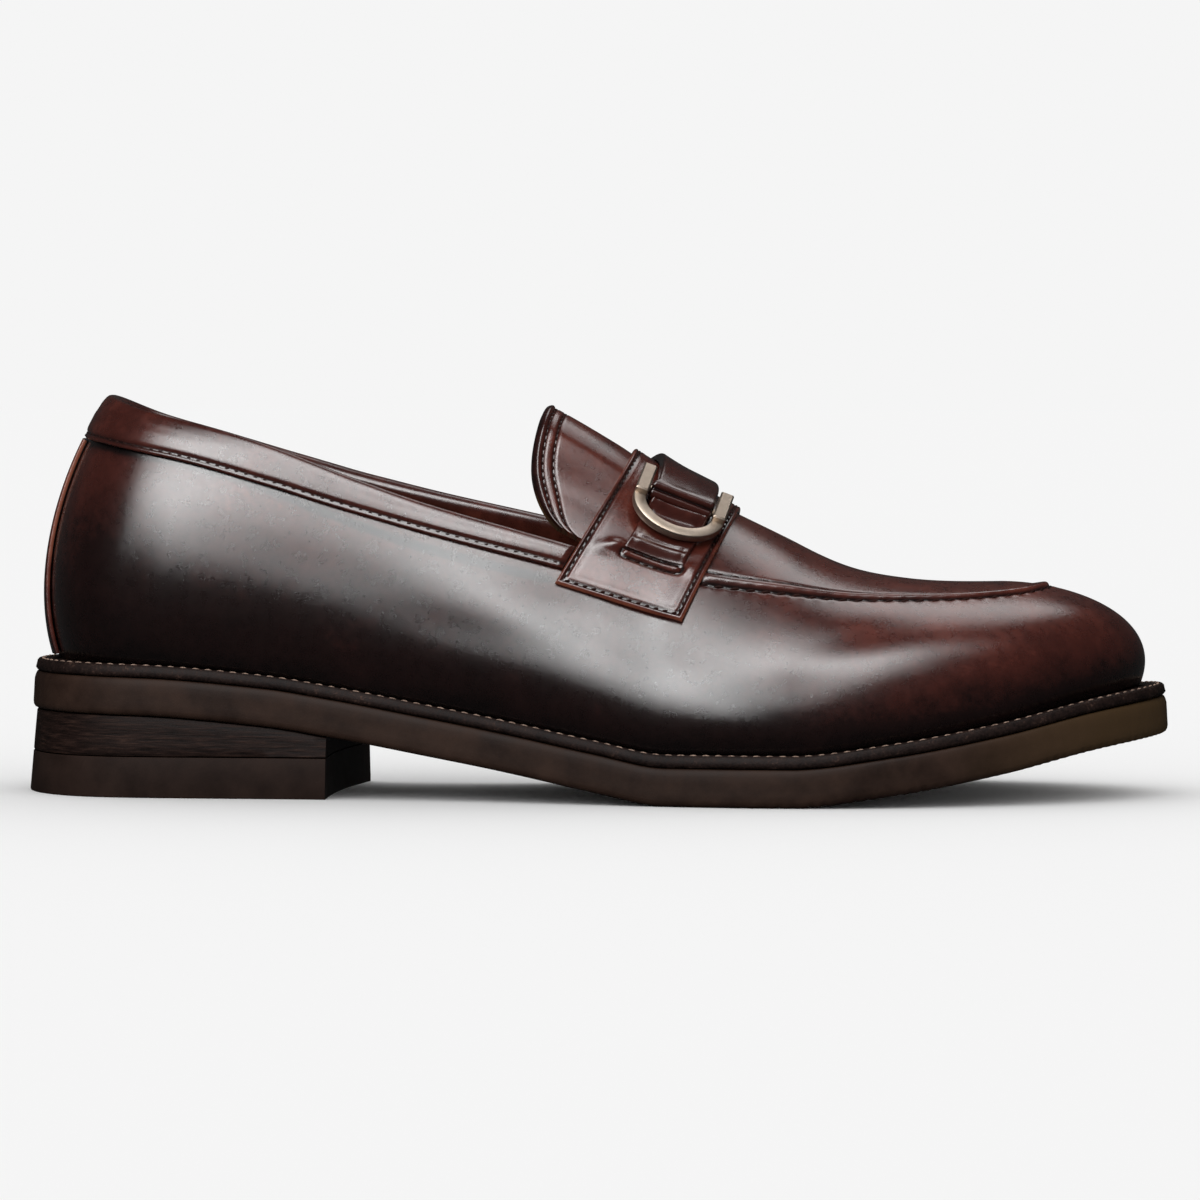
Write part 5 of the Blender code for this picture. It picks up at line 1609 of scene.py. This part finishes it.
def stitchMesh(points, normals, pitch, long, thick, sink, lean=0.0, seed=1):
    # Thread laid along a line: one small dipping capsule for each stitch.
    walk = walked(points)
    count = max(int(round(walk[-1] / pitch)), 1)
    chance = np.random.default_rng(seed)
    middles = (np.arange(count) + 0.5) * walk[-1] / count

    def along(where, values):
        return np.stack([np.interp(where, walk, values[:, k]) for k in range(3)], -1)

    centre = along(middles, points)
    tangent = unit(along(middles + 0.3 * mm, points) - along(middles - 0.3 * mm, points))
    normal = unit(along(middles, normals))
    aside = unit(np.cross(normal, tangent))
    turn = lean + chance.normal(0, 0.04, count)[:, None]
    tangent = tangent * np.cos(turn) + aside * np.sin(turn)
    aside = np.cross(normal, tangent)
    stations = np.array([-1, -0.84, -0.45, 0, 0.45, 0.84, 1])
    girth = np.array([0.12, 0.62, 0.95, 1, 0.95, 0.62, 0.12]) * thick / 2
    around = 6
    spin = np.linspace(0, 2 * math.pi, around, endpoint=False)
    size = long * (1 + chance.normal(0, 0.04, count))[:, None, None, None] / 2
    body = centre[:, None, None, :] + tangent[:, None, None, :] * stations[None, :, None, None] * size
    body = body - normal[:, None, None, :] * (sink * stations**2)[None, :, None, None]
    thread = (aside[:, None, None, :] * np.cos(spin)[None, None, :, None]
              + normal[:, None, None, :] * np.sin(spin)[None, None, :, None])
    body = body + thread * girth[None, :, None, None]
    one = np.array(quads(len(stations), around, closed=True))
    each = len(stations) * around
    faces = (one[None] + (np.arange(count) * each)[:, None, None]).reshape(-1, 4).tolist()
    for start in range(0, count * each, each):
        faces += [tuple(range(start, start + around)), tuple(range(start + each - around, start + each))]
    return body.reshape(-1, 3), faces


def addStitches(name, rows, finish):
    # rows of (points, normals, facts); facts are stitchMesh's own sizes.
    points, faces, count = [], [], 0
    for k, (line, normals, facts) in enumerate(rows):
        body, own = stitchMesh(line, normals, seed=k + 3, **facts)
        faces += [tuple(i + count for i in face) for face in own]
        points.append(body)
        count += len(body)
    return addPiece(name, np.concatenate(points), faces, finish, weld=1e-8)


def threadFinish(name, dark, light):
    # Waxed thread with a fine twist.
    made, tree, place = newMaterial(name)
    twist = noiseNode(tree, place, 0.5 * mm)
    return dressed(made, {
        "Base Color": rampNode(tree, twist, [(0.3, dark), (0.7, light)]),
        "Roughness": rangeNode(tree, twist, 0.2, 0.8, 0.45, 0.65),
        "Specular IOR Level": 0.06,
        "Normal": bumpNode(tree, noiseNode(tree, place, 0.18 * mm), 0.6, 0.05 * mm),
    })


def bindingRow(side):
    shares = np.linspace(0, 0.995, 160)
    turn = bindingEnd[side] * shares
    edge, low = toplinePlace(side, turn), bandPlace(side, turn)
    ride = ridingPlace(side, turn, edge, shares)
    flat = 0.0 * edge
    perMm = (edge - low) / np.linalg.norm(ride(edge, flat) - ride(low, flat), axis=-1)
    place = low + binding["stitchUp"] * perMm
    line = ride(place, last["layGap"] + 0.52 * binding["thick"] + flat)
    return line, ride(place, 3 * mm + flat) - ride(place, flat)


def apronRow(offset, lift):
    # Round the apron from the saddle on the outer side, by the toe, to the saddle on the inner side.
    parts = []
    for side in sides:
        start = turnAcross(side, saddleFront + upper["seamClear"], float(seamPlace(saddle["middle"])))
        own = np.linspace(float(start), math.pi, 160)
        line = rowLine(side, own) + upper["seamStep"] * offset
        parts.append((lifted(side, own, line, np.full(own.shape, lift)), lastNormal(side, own, line)))
    return tuple(np.concatenate([there, back[-2::-1]]) for there, back in zip(*parts))


def saddleSpots(aheads, distances, lift, fromInner=False):
    # Points of the saddle: distances up from its lower edge.
    ends, places, walk = acrossTable(aheads, 90)
    where = walk[:, -1] - distances if fromInner else distances
    spots = placesAt(places, walk, where)
    own = {side: end[:, 0] for side, end in ends.items()}
    points, normals = crestSurface(flared(aheads, spots, own), spots)
    return points + normals * (last["layGap"] + lift), normals


def saddleRows():
    inset, steps = saddle["stitchIn"], 60
    lift = saddle["thick"] - 0.30 * mm
    rows = []
    for ahead in (saddleBack + inset, saddleFront - inset):
        _, _, walk = acrossTable(np.array([ahead]))
        rows.append(saddleSpots(np.full(steps, ahead), np.linspace(inset, walk[0, -1] - inset, steps), lift))
    for fromInner in (False, True):
        aheads = np.linspace(saddleBack + inset, saddleFront - inset, 30)
        rows.append(saddleSpots(aheads, np.full(30, inset), lift, fromInner))
    return rows


def slotRows():
    # Two stitch lines on each side, over and under the raised bar.
    rows = []
    aheads = np.linspace(saddleBack + 1 * mm, saddleFront - 1 * mm, 60)
    ends, places, walk = acrossTable(aheads, 90)
    for side in sides:
        beside, middle = slotWalk(side, aheads, ends, places, walk)
        for below in (slotBar["below"], slotBar["below"] + slotBar["tall"]):
            line, normals = saddleSpots(aheads, middle + below * side, saddle["thick"] - 0.35 * mm)
            kept = (beside > 1.0 * mm - slotBar["wide"] / 2) & (beside < slotBar["wide"] / 2 - 0.6 * mm)
            rows.append((line[kept], normals[kept]))
    return rows


def tongueRow(distance):
    edge, inward, scale = tonguePlan()
    plan = (edge + inward * distance)[6:-6]
    line = tonguePoint(plan, scale, np.full(len(plan), -0.22 * mm))
    return line, tonguePoint(plan, scale, np.full(len(plan), 2 * mm)) - line


def stripRow(side, inset):
    rows = np.linspace(0.03, 0.985, 60)
    own, places = stripPlaces(side, rows, inset)
    lift = last["layGap"] + strip["thick"] - 0.18 * mm
    return lifted(side, own, places, lift + 0 * rows), lastNormal(side, own, places)


def makeStitches():
    brown = threadFinish("brown_thread", (0.0040, 0.0016, 0.0014), (0.020, 0.0066, 0.0048))
    pale = threadFinish("welt_thread", (0.055, 0.034, 0.026), (0.22, 0.155, 0.12))

    def facts(pitch, long, thick, sink, lean=0.0):
        return {"pitch": pitch, "long": long, "thick": thick, "sink": sink, "lean": lean}

    collar = facts(binding["stitchPitch"], 1.9 * mm, 0.62 * mm, 0.40 * mm, 0.10)
    addStitches("collar_stitches", [(*bindingRow(side), collar) for side in sides], brown)
    below = facts(upper["stitchPitch"], 3.2 * mm, 0.72 * mm, 0.50 * mm, 0.20)
    above = facts(upper["stitchPitch"], 2.8 * mm, 0.58 * mm, 0.44 * mm, 0.10)
    addStitches("apron_stitches", [(*apronRow(0.0, -0.20 * mm), below), (*apronRow(2.0, -0.14 * mm), above)],
                brown)
    rim = facts(saddle["stitchPitch"], 1.9 * mm, 0.74 * mm, 0.48 * mm, 0.42)
    slot = facts(2.5 * mm, 1.9 * mm, 0.66 * mm, 0.42 * mm, 0.25)
    rows = [(*row, rim) for row in saddleRows()] + [(*row, slot) for row in slotRows()]
    addStitches("saddle_stitches", rows, brown)
    flap = facts(tongue["stitchPitch"], 1.75 * mm, 0.66 * mm, 0.44 * mm, 0.36)
    addStitches("tongue_stitches", [(*tongueRow(inset), flap) for inset in tongue["stitchIn"]],
                brown)
    back = facts(strip["stitchPitch"], 1.8 * mm, 0.46 * mm, 0.3 * mm, 0.08)
    rows = [(*stripRow(side, inset), back) for side in sides for inset in strip["stitchIn"]]
    addStitches("strip_stitches", rows, brown)
    top = last["outsoleThick"] + last["fitGap"] + last["weltThick"]
    line = soleRing(last["weltSlant"] + sole["stitchIn"], top - 0.05 * mm)
    line = np.concatenate([line, line[:1]])
    up = np.tile([0.0, 0.0, 1.0], (len(line), 1))
    edge = facts(sole["stitchPitch"], 2.7 * mm, 0.62 * mm, 0.36 * mm, 0.10)
    addStitches("welt_stitches", [(line, up, edge)], pale)


makeStitches()


def setStage():
    # A pale floor without an edge in sight.
    mesh = bpy.data.meshes.new("studio_floor")
    corners = [(-1, -1), (1, -1), (1, 1), (-1, 1)]
    mesh.from_pydata([(x * studio["floor"], y * studio["floor"], 0) for x, y in corners], [], [(0, 1, 2, 3)])
    floor = addObject("studio_floor", mesh)
    paper, _, _ = newMaterial("studio_paper")
    mesh.materials.append(dressed(paper, {
        "Base Color": (0.93, 0.93, 0.93, 1), "Roughness": 1.0, "Specular IOR Level": 0.0}))
    floor.visible_glossy = False
    return floor


studio = {
    "floor": 12.0,      # half the floor's width
    "paper": 0.913,     # brightness of the paper behind the shoe
    "fill": 0.985,      # the light from all round
    "mirrored": 0.035,  # what the leather mirrors of the room
}
# Soft boxes on an arc in front, each seen as one part of the long highlight; one more from behind.
lights = {
    "quarter": {"turn": -25, "rise": 35, "side": 0.42, "power": 5.4},
    "heel": {"turn": -21, "rise": 23, "side": 0.40, "power": 4.4},
    "side": {"turn": -10, "rise": 37, "side": 0.38, "power": 2.2},
    "waist": {"turn": -8, "rise": 48, "side": 0.40, "power": 3.2},
    "vamp": {"turn": -4, "rise": 58, "side": 0.42, "power": 3.8},
    "forefoot": {"turn": 16, "rise": 66, "side": 0.42, "power": 4.0},
    "toe": {"turn": 48, "rise": 73, "side": 0.42, "power": 1.8},
    "rim": {"turn": 160, "rise": 56, "side": 0.50, "power": 1.9},
}
lightReach = {"distance": 1.3, "aim": (0.0, 0.0, 0.05)}
view = {"turn": 5.5, "rise": 2.4, "distance": 1.5, "aim": (1.5 * mm, 0, 50.9 * mm), "lens": 169.7,
        "sensor": 36}


def aimFrom(thing, turn, rise, distance, aim):
    # The turn runs from straight ahead of the outer side towards the toe, in degrees.
    turn, rise = math.radians(turn), math.radians(rise)
    away = Vector((math.sin(turn) * math.cos(rise), -math.cos(turn) * math.cos(rise), math.sin(rise)))
    thing.location = Vector(aim) + away * distance
    thing.rotation_mode = "QUATERNION"
    thing.rotation_quaternion = (-away).to_track_quat("-Z", "Y")


def addLight(name, turn, rise, side, power, unlit):
    lamp = bpy.data.lights.new(name, "AREA")
    lamp.shape = "SQUARE"
    lamp.size = side
    lamp.energy = power
    spot = addObject(name, lamp)
    aimFrom(spot, turn, rise, lightReach["distance"], lightReach["aim"])
    spot.light_linking.receiver_collection = unlit


def addCamera():
    lens = bpy.data.cameras.new("camera")
    lens.lens = view["lens"]
    lens.sensor_width = view["sensor"]
    lens.clip_start, lens.clip_end = 0.05, 60
    camera = addObject("camera", lens)
    aimFrom(camera, view["turn"], view["rise"], view["distance"], view["aim"])
    bpy.context.scene.camera = camera


def addWorld():
    # White paper behind the shoe; what the leather mirrors of it is dim.
    world = bpy.data.worlds.new("studio")
    bpy.context.scene.world = world
    world.use_nodes = True
    tree = world.node_tree
    seen = tree.nodes.new("ShaderNodeLightPath")
    ground = tree.nodes["Background"]
    mirrored = mathNode(tree, "MULTIPLY", seen.outputs["Is Glossy Ray"], studio["mirrored"] - studio["fill"])
    shown = mathNode(tree, "MULTIPLY", seen.outputs["Is Camera Ray"], studio["paper"] - studio["fill"])
    lit = mathNode(tree, "ADD", mathNode(tree, "ADD", mirrored, shown), studio["fill"])
    tree.links.new(lit, ground.inputs["Strength"])
    ground.inputs["Color"].default_value = (1, 1, 1, 1)
    bpy.context.scene.view_settings.view_transform = "Standard"


floor = setStage()
print("the floor is laid")
floorAlone = bpy.data.collections.new("floor_alone")
floorAlone.objects.link(floor)
floorAlone.collection_objects[0].light_linking.link_state = "EXCLUDE"
for name, facts in lights.items():
    addLight(name, unlit=floorAlone, **facts)
addCamera()
addWorld()
print("the lights and the camera are set")
